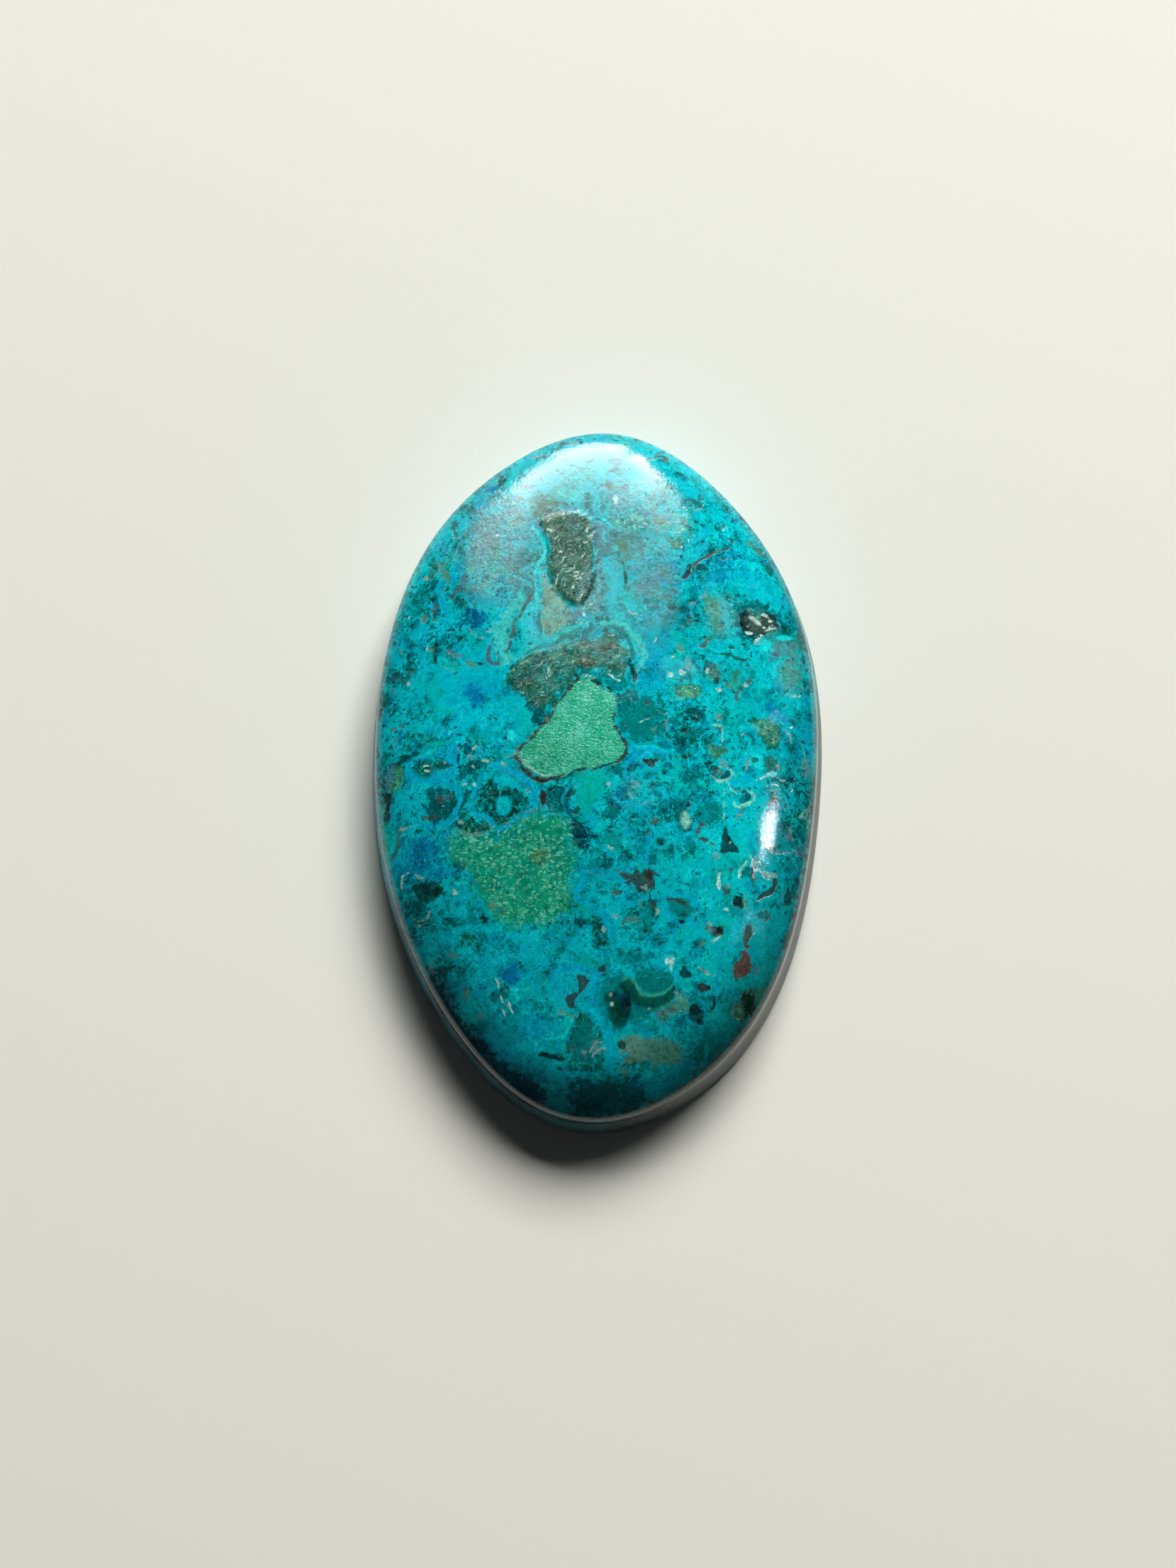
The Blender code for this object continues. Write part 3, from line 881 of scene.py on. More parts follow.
draw(
    ("shell", 0.3, 0.5, -4, 9.1, -4.6, 8.2, -5.1, 7.2, -5.2, 6.4, -4.9, 5.5),
    ("shell", 0.2, 0.34, -4.75, 5.5, -3.75, 6, -2.85, 6.35, -2.15, 6.8, -1.35, 7.25, -0.65, 7.5),
    ("shell", 0.2, 0.34, -0.65, 7.5, 0.15, 7.55, 1.05, 7.55, 1.6, 7.3, 2.05, 6.85, 2.4, 6.35, 2.6, 5.85,
     2.5, 5.3, 2.35, 4.85),
    ("teal", 0.1, 0.3, -4.1, 5.75, -3.05, 6.2, -2.4, 6.35, -1.7, 6.75, -0.95, 7.2),
    ("teal", 0.1, 0.3, 0.3, 7.25, 1, 7.3, 1.6, 6.9, 1.95, 6.3, 2.1, 5.6),
    ("sky", 0.08, 0.22, -3.35, 13.2, -3.1, 12.75, -2.8, 12.3, -2.65, 11.85, -2.75, 11.3, -3.1, 10.6,
     -3.2, 10.1, -3.15, 9.3, -3.2, 8.7),
    ("haze", 0.06, 0.14, -8.6, 11.35, -8.5, 10.95, -8.4, 10.5, -8.35, 10.2),
    ("haze", 0.06, 0.14, -7.85, 12.6, -7.95, 12.1, -8.15, 11.4),
    ("haze", 0.06, 0.14, -7.35, 12.5, -7.5, 11.95, -7.75, 11.45, -7.95, 11.15),
    ("bark", 0.05, 0.14, -3.35, 12.8, -3.15, 12.45),
    ("sky", 0.05, 0.12, 0.15, 13.6, 0.7, 13.25, 1.05, 12.9),
    ("khaki", 0.1, 0.3, 8.4, 12.6, 8.8, 12.1, 9.1, 11.75),
    ("forest", 0.1, 0.35, 9.3, 11.3, 9.6, 10.6),
    ("khaki", 0.08, 0.3, -8.2, 11.3, -8.25, 11, -8.1, 10.6, -7.95, 10.25, -7.9, 10.05),
    ("khaki", 0.06, 0.14, -8.05, 9.85, -8.3, 9.45, -8.3, 9.1),
    ("azure", 0.12, 0.35, -8.4, 10.45, -8.35, 10.15, -8.45, 9.7, -8.35, 9.2, -8.3, 8.75, -8.25, 8.3,
     -8.25, 7.5),
    ("bone", 0.05, 0.12, -10.2, 8.65, -10.25, 8.3),
    ("haze", 0.06, 0.13, -6.8, 7.4, -6.55, 7.05, -6.25, 6.85, -5.95, 6.75),
    ("haze", 0.06, 0.12, -5.85, 7.2, -5.5, 7.2),
    ("mauve", 0.06, 0.26, -5.5, 6.7, -5.65, 6.35, -5.75, 6, -5.75, 5.6, -5.55, 5.35, -5.2, 5.25),
    ("deep teal", 0.05, 0.12, -5.25, 6.3, -5.2, 5.7, -5.2, 5.3),
    ("khaki", 0.07, 0.28, -6.9, 5.5, -6.65, 5.3, -6.4, 5.1),
    ("bottle", 0.06, 0.18, -6.45, 5.5, -6.1, 5.35),
    ("slate", 0.06, 0.18, -7.95, 6.2, -7.7, 5.95, -7.3, 5.8, -7.05, 5.85),
    ("bottle", 0.05, 0.12, -8.1, 7.35, -7.8, 7.35, -7.5, 7.3),
    ("deep teal", 0.06, 0.18, -11.05, 3.8, -11.25, 3.45),
    ("bottle", 0.05, 0.14, -10.9, 3.3, -10.55, 3.15),
    ("cream", 0.08, 0.14, -2.6, 9.4, -2.4, 9.6, -1.9, 9.45, -1.7, 9.35),
    ("bottle", 0.12, 0.3, 0, 10.5, -0.2, 9.9, -0.4, 9.3, -0.75, 8.7),
    ("bottle", 0.05, 0.12, 1.6, 10.95, 1.6, 10.1, 1.5, 9.4),
    ("bone", 0.05, 0.11, 1.75, 8.3, 2, 8.15, 2.3, 8.15),
    ("bone", 0.06, 0.12, 3.1, 6.45, 3.3, 6.7),
    ("bark", 0.07, 0.2, -3.3, 10.4, -3.3, 9.8, -3.45, 9.1, -3.75, 8.75, -3.95, 8.25, -4.2, 7.75,
     -4.4, 7.35, -4.6, 6.7, -4.7, 6.15, -4.9, 6),
    ("teal", 0.08, 0.16, -3.05, 8.3, -3, 7),
    ("cream", 0.04, 0.11, 0.65, 6.9, 1.1, 6.8),
    ("ink", 0.1, 0.3, 1.8, 5.3, 2.1, 4.8, 2.1, 4.25),
    ("bone", 0.04, 0.11, 0.75, 4.65, 1.1, 4.4, 1.35, 4.25),
    ("bone", 0.04, 0.1, -0.7, 4.7, -0.25, 4.65, 0, 4.6),
    ("bark", 0.05, 0.14, 4.25, 9.9, 4.75, 10.15, 5, 10.5, 5.35, 10.85, 5.7, 11.1, 6.05, 11.4,
     6.45, 11.6, 6.8, 11.75, 7.1, 11.8, 7.5, 11.95),
    ("umber", 0.06, 0.3, 4.7, 10.1, 4.9, 10.3, 5.1, 10.5),
    ("haze", 0.05, 0.1, 5.15, 8.6, 5.95, 9.15, 6.1, 9.6),
    ("jade", 0.2, 0.25, 6.1, 8.8, 6.4, 8.4, 6.45, 7.8, 6.55, 7.2, 6.3, 6.8, 6.1, 6.45),
    ("sky", 0.12, 0.25, 9.9, 7, 10.8, 7.1),
    ("forest", 0.06, 0.18, 6.65, 5.95, 7.1, 5.85, 7.5, 5.65, 7.9, 5.6, 8.35, 5.75, 8.4, 6.1),
)
veins.lay_all(
    ("ink", 0.08, 7.75, 8.1, 8, 8.35, 8.3, 8.5, 8.45, 8.25, 8.8, 8, 9, 8.35, 9.4, 8.35, 9.75, 8.15,
     9.95, 7.7, 9.75, 7.4, 9.35, 7.2, 9.05, 7, 8.7, 6.95, 8.4, 6.95, 8, 7.1, 7.8, 7.5),
)
draw(
    ("bone", 0.08, 0.2, 8.35, 8, 8.6, 7.9, 8.9, 7.65),
    ("bone", 0.05, 0.1, 9.2, 7.3, 9.8, 7.55),
    ("bone", 0.08, 0.12, 8.6, 6.65, 8.95, 6.85),
)

# %% Veins round the window and through the right half
draw(
    ("umber", 0.07, 0.2, -1.9, 3.2, -1.5, 3.7, -1.1, 4.15, -0.9, 4.4, -1.1, 4.7),
    ("bottle", 0.07, 0.18, -0.6, 4.55, 0, 4.3, 0.6, 3.95, 1.1, 3.6),
    ("umber", 0.07, 0.2, 1, 2.5, 1, 1.9, 1.4, 1.3, 1.7, 0.9, 1.72, 0.5, 1.55, 0.2, 1.2, -0.05,
     0.9, -0.2),
    ("bottle", 0.06, 0.16, 0.9, -0.2, 0.2, -0.45, -0.5, -0.45, -1.2, -0.65),
    ("umber", 0.07, 0.2, -3.2, 1.5, -3.5, 1.05, -4, 0.75, -4.2, 0.35, -3.95, 0),
    ("umber", 0.07, 0.16, -2.1, 3, -2.35, 2.4, -2.9, 1.95, -3.3, 1.5),
    ("cream", 0.05, 0.13, -4, 0.3, -3.7, -0.1, -3.3, -0.5, -2.8, -0.8, -2.2, -0.88),
    ("bark", 0.04, 0.11, -2.3, 2.9, -2.05, 3.1),
    ("bone", 0.04, 0.1, 2.35, 2.05, 2.5, 2.15),
    ("haze", 0.04, 0.09, 2.6, 2.15, 3, 2.3),
    ("haze", 0.05, 0.11, 3.3, 2.7, 3.6, 2.5, 3.9, 2.55, 4.1, 2.3),
    ("haze", 0.05, 0.11, 3.8, 2.2, 3.95, 1.6),
    ("haze", 0.05, 0.11, 4, 3.1, 4.2, 3.3),
    ("blue", 0.12, 0.3, 2.2, 0.5, 2, 0.1, 1.8, -0.2),
    ("sky", 0.08, 0.18, 2.2, 0.7, 2.9, 0.75, 3.5, 0.6, 4, 0.2),
    ("umber", 0.05, 0.3, 2.55, 0, 2.9, -0.15, 3.4, 0.05),
    ("umber", 0.05, 0.12, 2.6, -0.15, 3, -0.4, 3.2, -0.2),
    ("deep teal", 0.05, 0.1, 0.6, -0.9, 0.65, -0.65, 0.95, -0.5),
    ("azure", 0.08, 0.2, -0.7, -1.2, -1.2, -1.5, -1.6, -2, -1.4, -2.7),
    ("ink", 0.04, 0.1, -1.95, -1, -2.15, -1.5, -2.3, -1.7),
    ("azure", 0.12, 0.32, -4.4, -0.4, -3.7, -1, -3.3, -1.6, -3.2, -2.3, -3.7, -3),
    ("khaki", 0.06, 0.14, 6.9, 4.3, 7.3, 3.9),
    ("frost", 0.07, 0.11, 6.3, 1.9, 6.7, 1.9, 6.9, 1.6, 6.85, 1.2, 6.7, 0.9),
    ("haze", 0.07, 0.17, 10.3, 1.9, 10.5, 1.5, 10.6, 1.1),
    ("bone", 0.04, 0.1, 10.6, 1.95, 10.8, 2.1),
    ("bone", 0.05, 0.11, 10.4, 3.85, 10.75, 3.85, 11.1, 3.9),
    ("haze", 0.08, 0.2, 8.2, 0.1, 8.15, -0.6),
    ("sky", 0.06, 0.13, 8.9, -0.7, 9.2, -0.65, 9.5, -0.55, 9.9, -0.55),
    ("frost", 0.07, 0.12, 6.25, -0.5, 6.4, -0.9, 6.7, -1.1, 7.1, -1, 7.35, -0.8, 7.3, -0.55, 6.9, -0.4,
     6.6, -0.35),
    ("frost", 0.07, 0.1, 7.1, -1, 7.2, -1.3, 7.5, -1.6, 7.7, -1.8),
    ("frost", 0.07, 0.13, 7.35, -1.9, 7.5, -2.2, 7.6, -2.5, 8, -2.4, 8.4, -2.25, 8.55, -2.1, 8.5, -1.8,
     8.2, -1.6),
    ("umber", 0.04, 0.11, 4.35, 0.1, 4.9, 0.15, 5.05, 0.4),
    ("haze", 0.08, 0.2, 11.5, -2.1, 11.4, -2.6, 11.3, -2.9),
    ("bark", 0.07, 0.26, 5.95, -3.45, 5.65, -3.55, 5.45, -3.95),
    ("rust", 0.06, 0.2, 5.4, -4.15, 5.75, -4.25, 6, -4.3),
    ("khaki", 0.06, 0.12, 6.1, -4.45, 6.45, -4.65),
    ("bark", 0.07, 0.3, 1.05, -5.9, 1.4, -6.1, 1.8, -6.25, 2.3, -6.35, 2.65, -6.4, 2.75, -6.75),
    ("ink", 0.04, 0.1, 1.65, -7.15, 2, -7.1, 2.35, -7),
    ("umber", 0.07, 0.3, 3.6, -4.2, 3.75, -4.4, 3.75, -4.65),
    ("ink", 0.07, 0.35, 3.4, -4.3, 3.7, -4.5),
    ("bone", 0.05, 0.14, 3.2, -8, 3.35, -8.3),
    ("deep teal", 0.04, 0.1, 1.4, -9.3, 1.8, -9.2, 2.3, -9.4),
    ("bone", 0.06, 0.15, 6.65, -6, 6.55, -6.6, 6.6, -7.1),
    ("slate", 0.08, 0.22, 8.5, -5.2, 8.45, -6.2),
    ("umber", 0.06, 0.32, 9.5, -6.15, 9.55, -6.45, 9.3, -6.9, 9, -7.15, 8.6, -7.4),
    ("haze", 0.05, 0.11, 8.7, -6, 9, -6.1, 9.3, -6.4),
    ("deep teal", 0.04, 0.1, 8, -8.05, 8.8, -8.3),
    ("khaki", 0.05, 0.11, 8, -7.2, 8, -8),
)

# %% Veins of the rings at the left and of the malachite
draw(
    ("jade", 0.05, 0.12, -10.25, 2.95, -10.2, 2.45),
    ("blue", 0.1, 0.3, -10.55, 2, -10.6, 1.2),
    ("bottle", 0.1, 0.35, -9.6, 0.75, -10.05, 0.45, -10.45, 0.45, -10.8, 0.1),
    ("deep teal", 0.05, 0.12, -8.5, 1.4, -8.2, 1.25, -7.75, 1.4, -7.4, 1.5, -7.05, 1.4, -6.9, 1.25,
     -6.6, 1),
    ("turquoise", 0.1, 0.32, -7.85, 1.2, -8.35, 1.1, -8.7, 0.85, -9, 0.6, -9.4, 0.45),
    ("azure", 0.12, 0.3, -10.05, 0.3, -10.15, -0.15, -9.9, -0.6, -9.4, -0.85, -9, -0.9, -8.4, -0.95,
     -7.75, -0.9),
    ("azure", 0.12, 0.34, -7.75, 1.25, -7.75, 0.2, -7.75, -0.75),
    ("navy", 0.05, 0.13, -7.35, 1.1, -7.3, 0.5, -7.35, 0.1, -7.2, -0.5),
    ("sky", 0.07, 0.15, -9.9, 0.45, -9.2, 0.55, -8.6, 0.8),
    ("bone", 0.04, 0.1, -9.3, 0, -8.85, -0.1),
    ("bone", 0.05, 0.12, -9.3, -0.25, -8.9, -0.4),
    ("cream", 0.05, 0.14, -6.55, 0.7, -6.3, 0.95),
    ("cream", 0.04, 0.1, -6.65, 0, -6.45, -0.3),
    ("cream", 0.06, 0.18, -6, 0.15, -5.6, 0),
    ("ink", 0.05, 0.12, -5.55, 0.2, -5.25, 0.2),
    ("azure", 0.08, 0.24, -9, -1.05, -8, -1.15, -7.4, -1.45, -7.2, -2, -7.3, -2.5, -7.6, -3, -8, -3.3,
     -8.5, -3.5, -9.1, -3.35, -9.8, -3.05),
    ("bark", 0.08, 0.35, -8.6, -1.7, -8.3, -2, -8.5, -2.1),
    ("azure", 0.08, 0.26, -5.95, -0.6, -6.3, -1.3, -6.55, -1.9, -6.65, -2.35, -6.4, -2.8, -6, -2.9,
     -5.5, -3.2, -5.3, -3.6, -4.8, -3.6, -4.3, -3.2, -4, -3),
    ("azure", 0.12, 0.35, -5.6, -0.1, -4.9, -0.35, -4.2, -0.6),
    ("haze", 0.05, 0.12, -4.75, 0.2, -4.3, 0.45, -4.05, 0.9),
    ("cream", 0.06, 0.15, -5, 0, -4.7, -0.3),
    ("olive", 0.1, 0.28, -10.55, -3.3, -10.6, -3.9, -10.7, -4.5, -10.95, -4.8, -11.05, -5.1),
    ("mint", 0.1, 0.2, -7.85, -4.5, -7.5, -4.6),
    ("bone", 0.04, 0.11, -10, -5.8, -10.3, -5.95, -10.4, -6.3, -10.45, -6.6),
    ("cream", 0.06, 0.14, -9.6, -5.95, -9.4, -6.15, -9.15, -6.15),
    ("mauve", 0.05, 0.1, -10.3, -7.2, -10.25, -7.55),
    ("cream", 0.05, 0.12, -8.75, -7.8, -8.85, -8.1, -9, -8.3),
    ("cream", 0.04, 0.1, -9.85, -8.2, -9.4, -8.35, -9, -8.3),
    ("tan", 0.04, 0.09, -9.9, -6.95, -9.4, -7.15),
    ("cyan", 0.15, 0.4, -8.85, -9.05, -8.2, -9.35, -7.6, -9.5, -7.3, -9.1, -6.8, -8.9, -6, -9,
     -5.2, -9.1),
    ("azure", 0.12, 0.32, -0.65, -5.2, -0.75, -5.8, -0.55, -6.1, -0.55, -6.65, -0.8, -6.9, -0.95, -7.35,
     -0.65, -7.5, -0.15, -7.75),
    ("azure", 0.12, 0.32, -0.15, -7.75, 0.3, -8.15, 0.6, -8.45, 0.75, -8.85, 0.85, -9.35, 1.1, -9.7,
     1.4, -9.85),
    ("ink", 0.04, 0.1, -1.1, -8.3, -1.1, -8.65, -1.1, -9),
    ("ink", 0.04, 0.1, -2.55, -8.65, -2.4, -8.8, -2.25, -8.95),
    ("ink", 0.04, 0.1, -2.55, -8.9, -2.35, -8.75, -2.2, -8.65),
)

# %% Veins of the lower end
draw(
    ("cyan", 0.12, 0.35, -0.7, -13.15, -0.1, -13.4, 0.3, -13.9, 0.6, -14.5, 0.75, -15.3, 0.85, -16.2),
    ("turquoise", 0.12, 0.3, -1.1, -13.4, -1.55, -14.2, -1.75, -15, -1.6, -16),
    ("ink", 0.05, 0.14, -0.8, -13.5, -0.95, -14.3),
    ("khaki", 0.06, 0.17, 5.4, -11.05, 5.7, -11.2, 5.95, -11.4),
    ("ink", 0.04, 0.11, 6.25, -12.5, 6.25, -13, 6.1, -13.2, 6, -13),
    ("khaki", 0.1, 0.28, 8.7, -12.3, 8.45, -12.9),
)
# Painted shade and reflection: a dark brown band along the right wall.
draw(
    ("matrix", 0.3, 1, 12.5, 5, 12.4, 0, 12, -4, 11.2, -8, 9.7, -12, 7.3, -15.4, 4.2, -17.9,
     0.6, -19.3),
)

# %% Clear shapes over the rest: dark pits, green and brown inlays with their rims, painted rim shade
draw(
    ("azure", 0.1, 0.26, 3.63, -7.87, 3.84, -7.37, 4.49, -7.18, 5.2, -7.36, 5.48, -7.86, 5.33, -8.43,
     4.69, -8.79, 3.98, -8.58, 3.7, -8),
    ("cyan", 0.15, 0.35, 0.42, -10.15, 1.27, -9.87, 2.55, -10.01, 3.69, -10.15, 4.68, -10, 5.4, -9.29,
     6.12, -8.71),
    ("cyan", 0.2, 0.4, 7, -11.2, 7.1, -10.2, 7.4, -9.2, 7.7, -8.4, 8.4, -8.3, 8.8, -9.2, 8.7, -10.4),
    ("azure", 0.12, 0.4, -1.63, -12.4, -2.15, -11.74, -1.76, -11.21, -0.3, -11.22, 0.09, -11.61,
     -0.11, -12.8, 0.48, -13.7, 0.61, -14.99, 0.7, -16.2),
    ("azure", 0.1, 0.3, 1.52, -0.41, 2.14, 0.22, 3.06, 0.61, 3.67, 0.3, 4.05, -0.48),
    ("sky", 0.06, 0.14, -4.97, -13.38, -4.02, -12.75, -4.42, -12.23, -3.48, -12.25, -3.88, -11.46),
    ("sky", 0.06, 0.14, -3.5, -14.7, -3.11, -14.97, -3.24, -15.35),
    ("sky", 0.06, 0.16, -2.84, -14.78, -1.77, -14.66, -1.24, -13.95, -1.63, -13.43),
)
veins.lay_all(
    ("teal", 0.15, 3.85, -7.9, 4.5, -7.4, 5.2, -7.9, 4.7, -8.55),
    ("umber", 0.08, 5.9, -8.86, 6.4, -8.78, 6.83, -8.9, 6.69, -9.26, 6.18, -9.35),
    ("olive", 0.06, 5.32, -9.86, 5.61, -9.68, 5.85, -9.73, 5.68, -9.96),
    ("bone", 0.08, 3.9, -10.93, 3.61, -10.72, 4.18, -10.71, 3.97, -11.21),
    ("ink", 0.05, 4.68, -10.99, 5.03, -11.4, 4.68, -11.62, 4.46, -11.48),
    ("bark", 0.1, 7.98, -8.72, 8.34, -8.84, 8.3, -9.48, 8, -9.98, 7.86, -9.92, 7.83, -9.36),
    ("sienna", 0.1, 7.98, -9.9, 8.19, -10.61, 8.19, -11.24, 7.68, -11.54, 7.25, -11.41, 7.32, -10.92,
     7.69, -10.49),
    ("teal", 0.3, 0.2, -12.2, 1.3, -11.5, 2.4, -12.2, 4.2, -12.6, 3, -13.6, 1, -14.3, 0.2, -13.4),
    ("fern", 0.06, 1.27, -12.13, 1.48, -11.71, 1.84, -11.6, 2.19, -11.99, 2.4, -12.49, 2.97, -12.62,
     3.53, -12.47, 3.96, -12.05, 4.22, -12.11, 4.13, -12.67, 3.53, -13.1, 2.82, -13.24, 2.11, -13.04,
     1.55, -12.42),
    ("fern", 0.08, 0.7, -13.12, 1.26, -12.7, 1.83, -13.11, 1.75, -13.95, 1.11, -14.23, 0.76, -13.81),
    ("fern", 0.06, 0.42, -12.67, 0.75, -12.4, 1.15, -12.67, 1.01, -13.19, 0.62, -13.19),
    ("navy", 0.1, 1.35, -12.75, 1.75, -12.7, 1.85, -13.3, 1.5, -13.5),
    ("deep teal", 0.1, 5.1, -13.07, 5.31, -12.93, 5.6, -13.2, 5.66, -13.69, 5.38, -13.97, 5.02, -13.7),
    ("umber", 0.06, 5.46, -11.88, 5.89, -11.94, 6.1, -12.28, 5.67, -12.36, 5.39, -12.09),
    ("lichen", 0.25, 3.25, -13.52, 3.96, -12.95, 4.53, -12.53, 4.96, -12.8, 4.24, -13.5, 3.53, -13.79),
    ("bottle", 0.2, 7.7, -12.6, 8.5, -12.3, 8.7, -12.9, 7.9, -13.6),
    ("lichen", 0.15, 7.24, -13.02, 7.82, -12.72, 7.89, -13.28, 7.53, -13.64),
    ("lichen", 0.2, 8.4, -12.14, 9.13, -11.98, 8.98, -12.54, 8.54, -12.84),
    ("tan", 0.25, 1.39, -14.78, 2.1, -14.64, 2.9, -14.85, 3.1, -15.5, 2.6, -16, 1.53, -15.89),
    ("khaki", 0.25, 2.8, -14.85, 4.38, -15.03, 4.37, -15.86, 2.7, -16),
    ("ink", 0.06, 6.95, -3.5, 7.1, -3.9, 7.35, -4.4, 7.7, -4.95, 7.1, -5, 6.65, -5, 6.65, -4.6,
     6.8, -4),
    ("ink", 0.05, 7.35, -7.2, 7.84, -7.66, 7.27, -7.76),
    ("teal", 0.1, 8.56, -8.06, 9.15, -7.89, 9, -8.46, 8.63, -8.34),
    ("umber", 0.06, -0.83, -11.61, -0.37, -11.61, -0.37, -12.07, -0.7, -12.53, -1.1, -12.79,
     -1.1, -13.18, -1.5, -13.18, -1.56, -12.66, -1.23, -12.46, -0.77, -12.27),
    ("bottle", 0.12, -9.9, -6.7, -9.5, -6.35, -8.85, -6.35, -8.3, -6.6, -8.1, -6.9, -8.9, -7.4,
     -9.6, -7.25),
    ("ink", 0.08, -9.1, -6.75, 0.55, 0.25, -10),
    ("teal", 0.3, -0.97, -13.96, -1.25, -15.24, -0.72, -16.02, 0, -15.6, -0.2, -14.4),
    ("blue", 0.3, -4.28, -11.45, 0.6, 0.5),
    ("azure", 0.35, -3.23, -14.19, 0.6, 0.5),
    # Painted shade: the navy band along the lower-left rim.
    ("navy", 0.4, -8.6, -11, -7.54, -12.8, -6.73, -13.98, -5.8, -15.17, -4.86, -15.97, -4.2, -16.6,
     -3, -17.1, -2.9, -18.2, -4.21, -17.9, -5.54, -16.7, -6.9, -15.4, -8, -13.8, -9.2, -11.6),
    # Partly painted shade: the deep teal patch at the lower rim.
    ("deep teal", 0.6, -1.39, -16.92, -0.07, -16.79, 1.12, -16.92, 2.25, -16.66, 2.23, -18.86,
     -0.09, -18.86, -1.15, -18.73, -1, -17.44),
    ("frost", 0.08, 4.6, -2.96, 4.89, -2.81, 5.19, -3.27, 4.88, -3.74, 4.65, -3.43),
    ("umber", 0.35, 1.6, -6.3, 2.42, -5.98, 3.19, -6.13, 3.11, -6.82, 2.57, -7.2, 1.96, -6.82),
    ("teal", 0.12, 1, -2.8, 0.4, 0.35),
    ("cyan", 0.08, 3.5, -4.44, 0.5, 0.4),
    ("ink", 0.06, 3.5, -4.44, 0.27, 0.2, -30),
)
draw(
    ("umber", 0.05, 0.24, 3.77, -7.44, 4.13, -7.48, 4.55, -7.65, 4.98, -7.89),
    ("bottle", 0.05, 0.14, 4.27, -8.41, 4.76, -8.29, 5.05, -8.44),
    ("deep teal", 0.06, 0.16, 4.33, -8.72, 4.76, -8.69),
    ("mint", 0.05, 0.11, 1.48, -11.78, 1.84, -11.64, 2.15, -11.96, 2.4, -12.44, 2.97, -12.58,
     3.54, -12.4, 4.03, -12.05),
    ("cream", 0.06, 0.16, 5.4, -11, 5.68, -11.18, 5.99, -11.38),
    ("ink", 0.05, 0.12, 5.1, -13.07, 5.31, -12.93, 5.6, -13.2, 5.66, -13.69, 5.38, -13.97, 5.02, -13.7,
     5.08, -13.1),
    ("silver", 0.05, 0.1, -0.32, -15.5, 0.08, -14.99, 0.34, -14.99),
    ("silver", 0.05, 0.08, -4.9, -11.9, -4.8, -12.1, -4.6, -12.35),
    ("silver", 0.05, 0.08, -5, -12.5, -4.9, -12.8, -4.7, -13.1),
    ("silver", 0.05, 0.08, -4.6, -12.8, -4.5, -13.1, -4.35, -13.45),
    ("silver", 0.05, 0.08, -4.95, -13.2, -4.85, -13.4, -4.7, -13.75),
    ("silver", 0.05, 0.08, -5.3, -11.6, -5.15, -11.8, -5.1, -12.1),
    ("silver", 0.05, 0.09, -0.19, -15.76, 0.34, -15.25, 0.47, -15.38),
    ("ink", 0.06, 0.28, -2.91, -15.61, -2.3, -15.75, -1.65, -15.95),
    ("umber", 0.06, 0.22, -4.1, 0.34, -3.95, -0.28, -3.4, -0.92, -2.63, -1.16, -1.71, -0.78),
    ("umber", 0.06, 0.42, -2.78, -1.65, -2.8, -2, -2.78, -2.45),
    ("deep teal", 0.06, 0.12, 4.5, -3, 4.9, -2.7, 5.3, -3.27, 4.9, -3.85, 4.55, -3.4, 4.5, -3.05),
    ("deep teal", 0.05, 0.12, 0.6, -2.6, 1, -2.4, 1.4, -2.8, 1, -3.2, 0.6, -2.9, 0.6, -2.65),
    ("deep teal", 0.08, 0.26, -1.09, -1.41, -1.4, -1.9, -1.47, -2.34, -1.24, -3.12, -0.7, -3.5),
    ("cream", 0.05, 0.12, 2.99, -7.87, 3.34, -8.16, 3.13, -8.37),
    ("frost", 0.06, 0.09, 8.61, -0.91, 9.36, -0.66, 9.94, -0.78, 10.61, -1.09),
    ("frost", 0.06, 0.08, 9.1, -1.29, 9.69, -1.16, 10.01, -1.55),
    ("frost", 0.06, 0.08, 6.96, -1.52, 6.92, -2.44, 6.83, -3.34),
    ("frost", 0.07, 0.1, 8.08, -4.88, 8.49, -5.43, 8.89, -5.89, 9.39, -6.07),
    ("frost", 0.07, 0.09, 8.16, -5.36, 7.74, -6.11, 7.82, -6.59),
    ("frost", 0.07, 0.13, 10.92, -2.89, 11.26, -2.45, 11.6, -2.67, 11.34, -3.35),
)
veins.store()

# %% [markdown]
# ## Flecks
# The smallest marks are ovals: black pits of copper ore, white crystals, brown grains. They lie
# on top of everything else.

# %% Flecks: mineral, softness, then x, y, half width, half height and sometimes a turn in degrees
flecks = Layer("fleck")
plan += wobble(plan, 0.7, 0.05)


def sprinkle(*groups):
    for mineral, softness, *ovals in groups:
        for oval in ovals:
            flecks.lay(mineral, softness, spot(*oval))


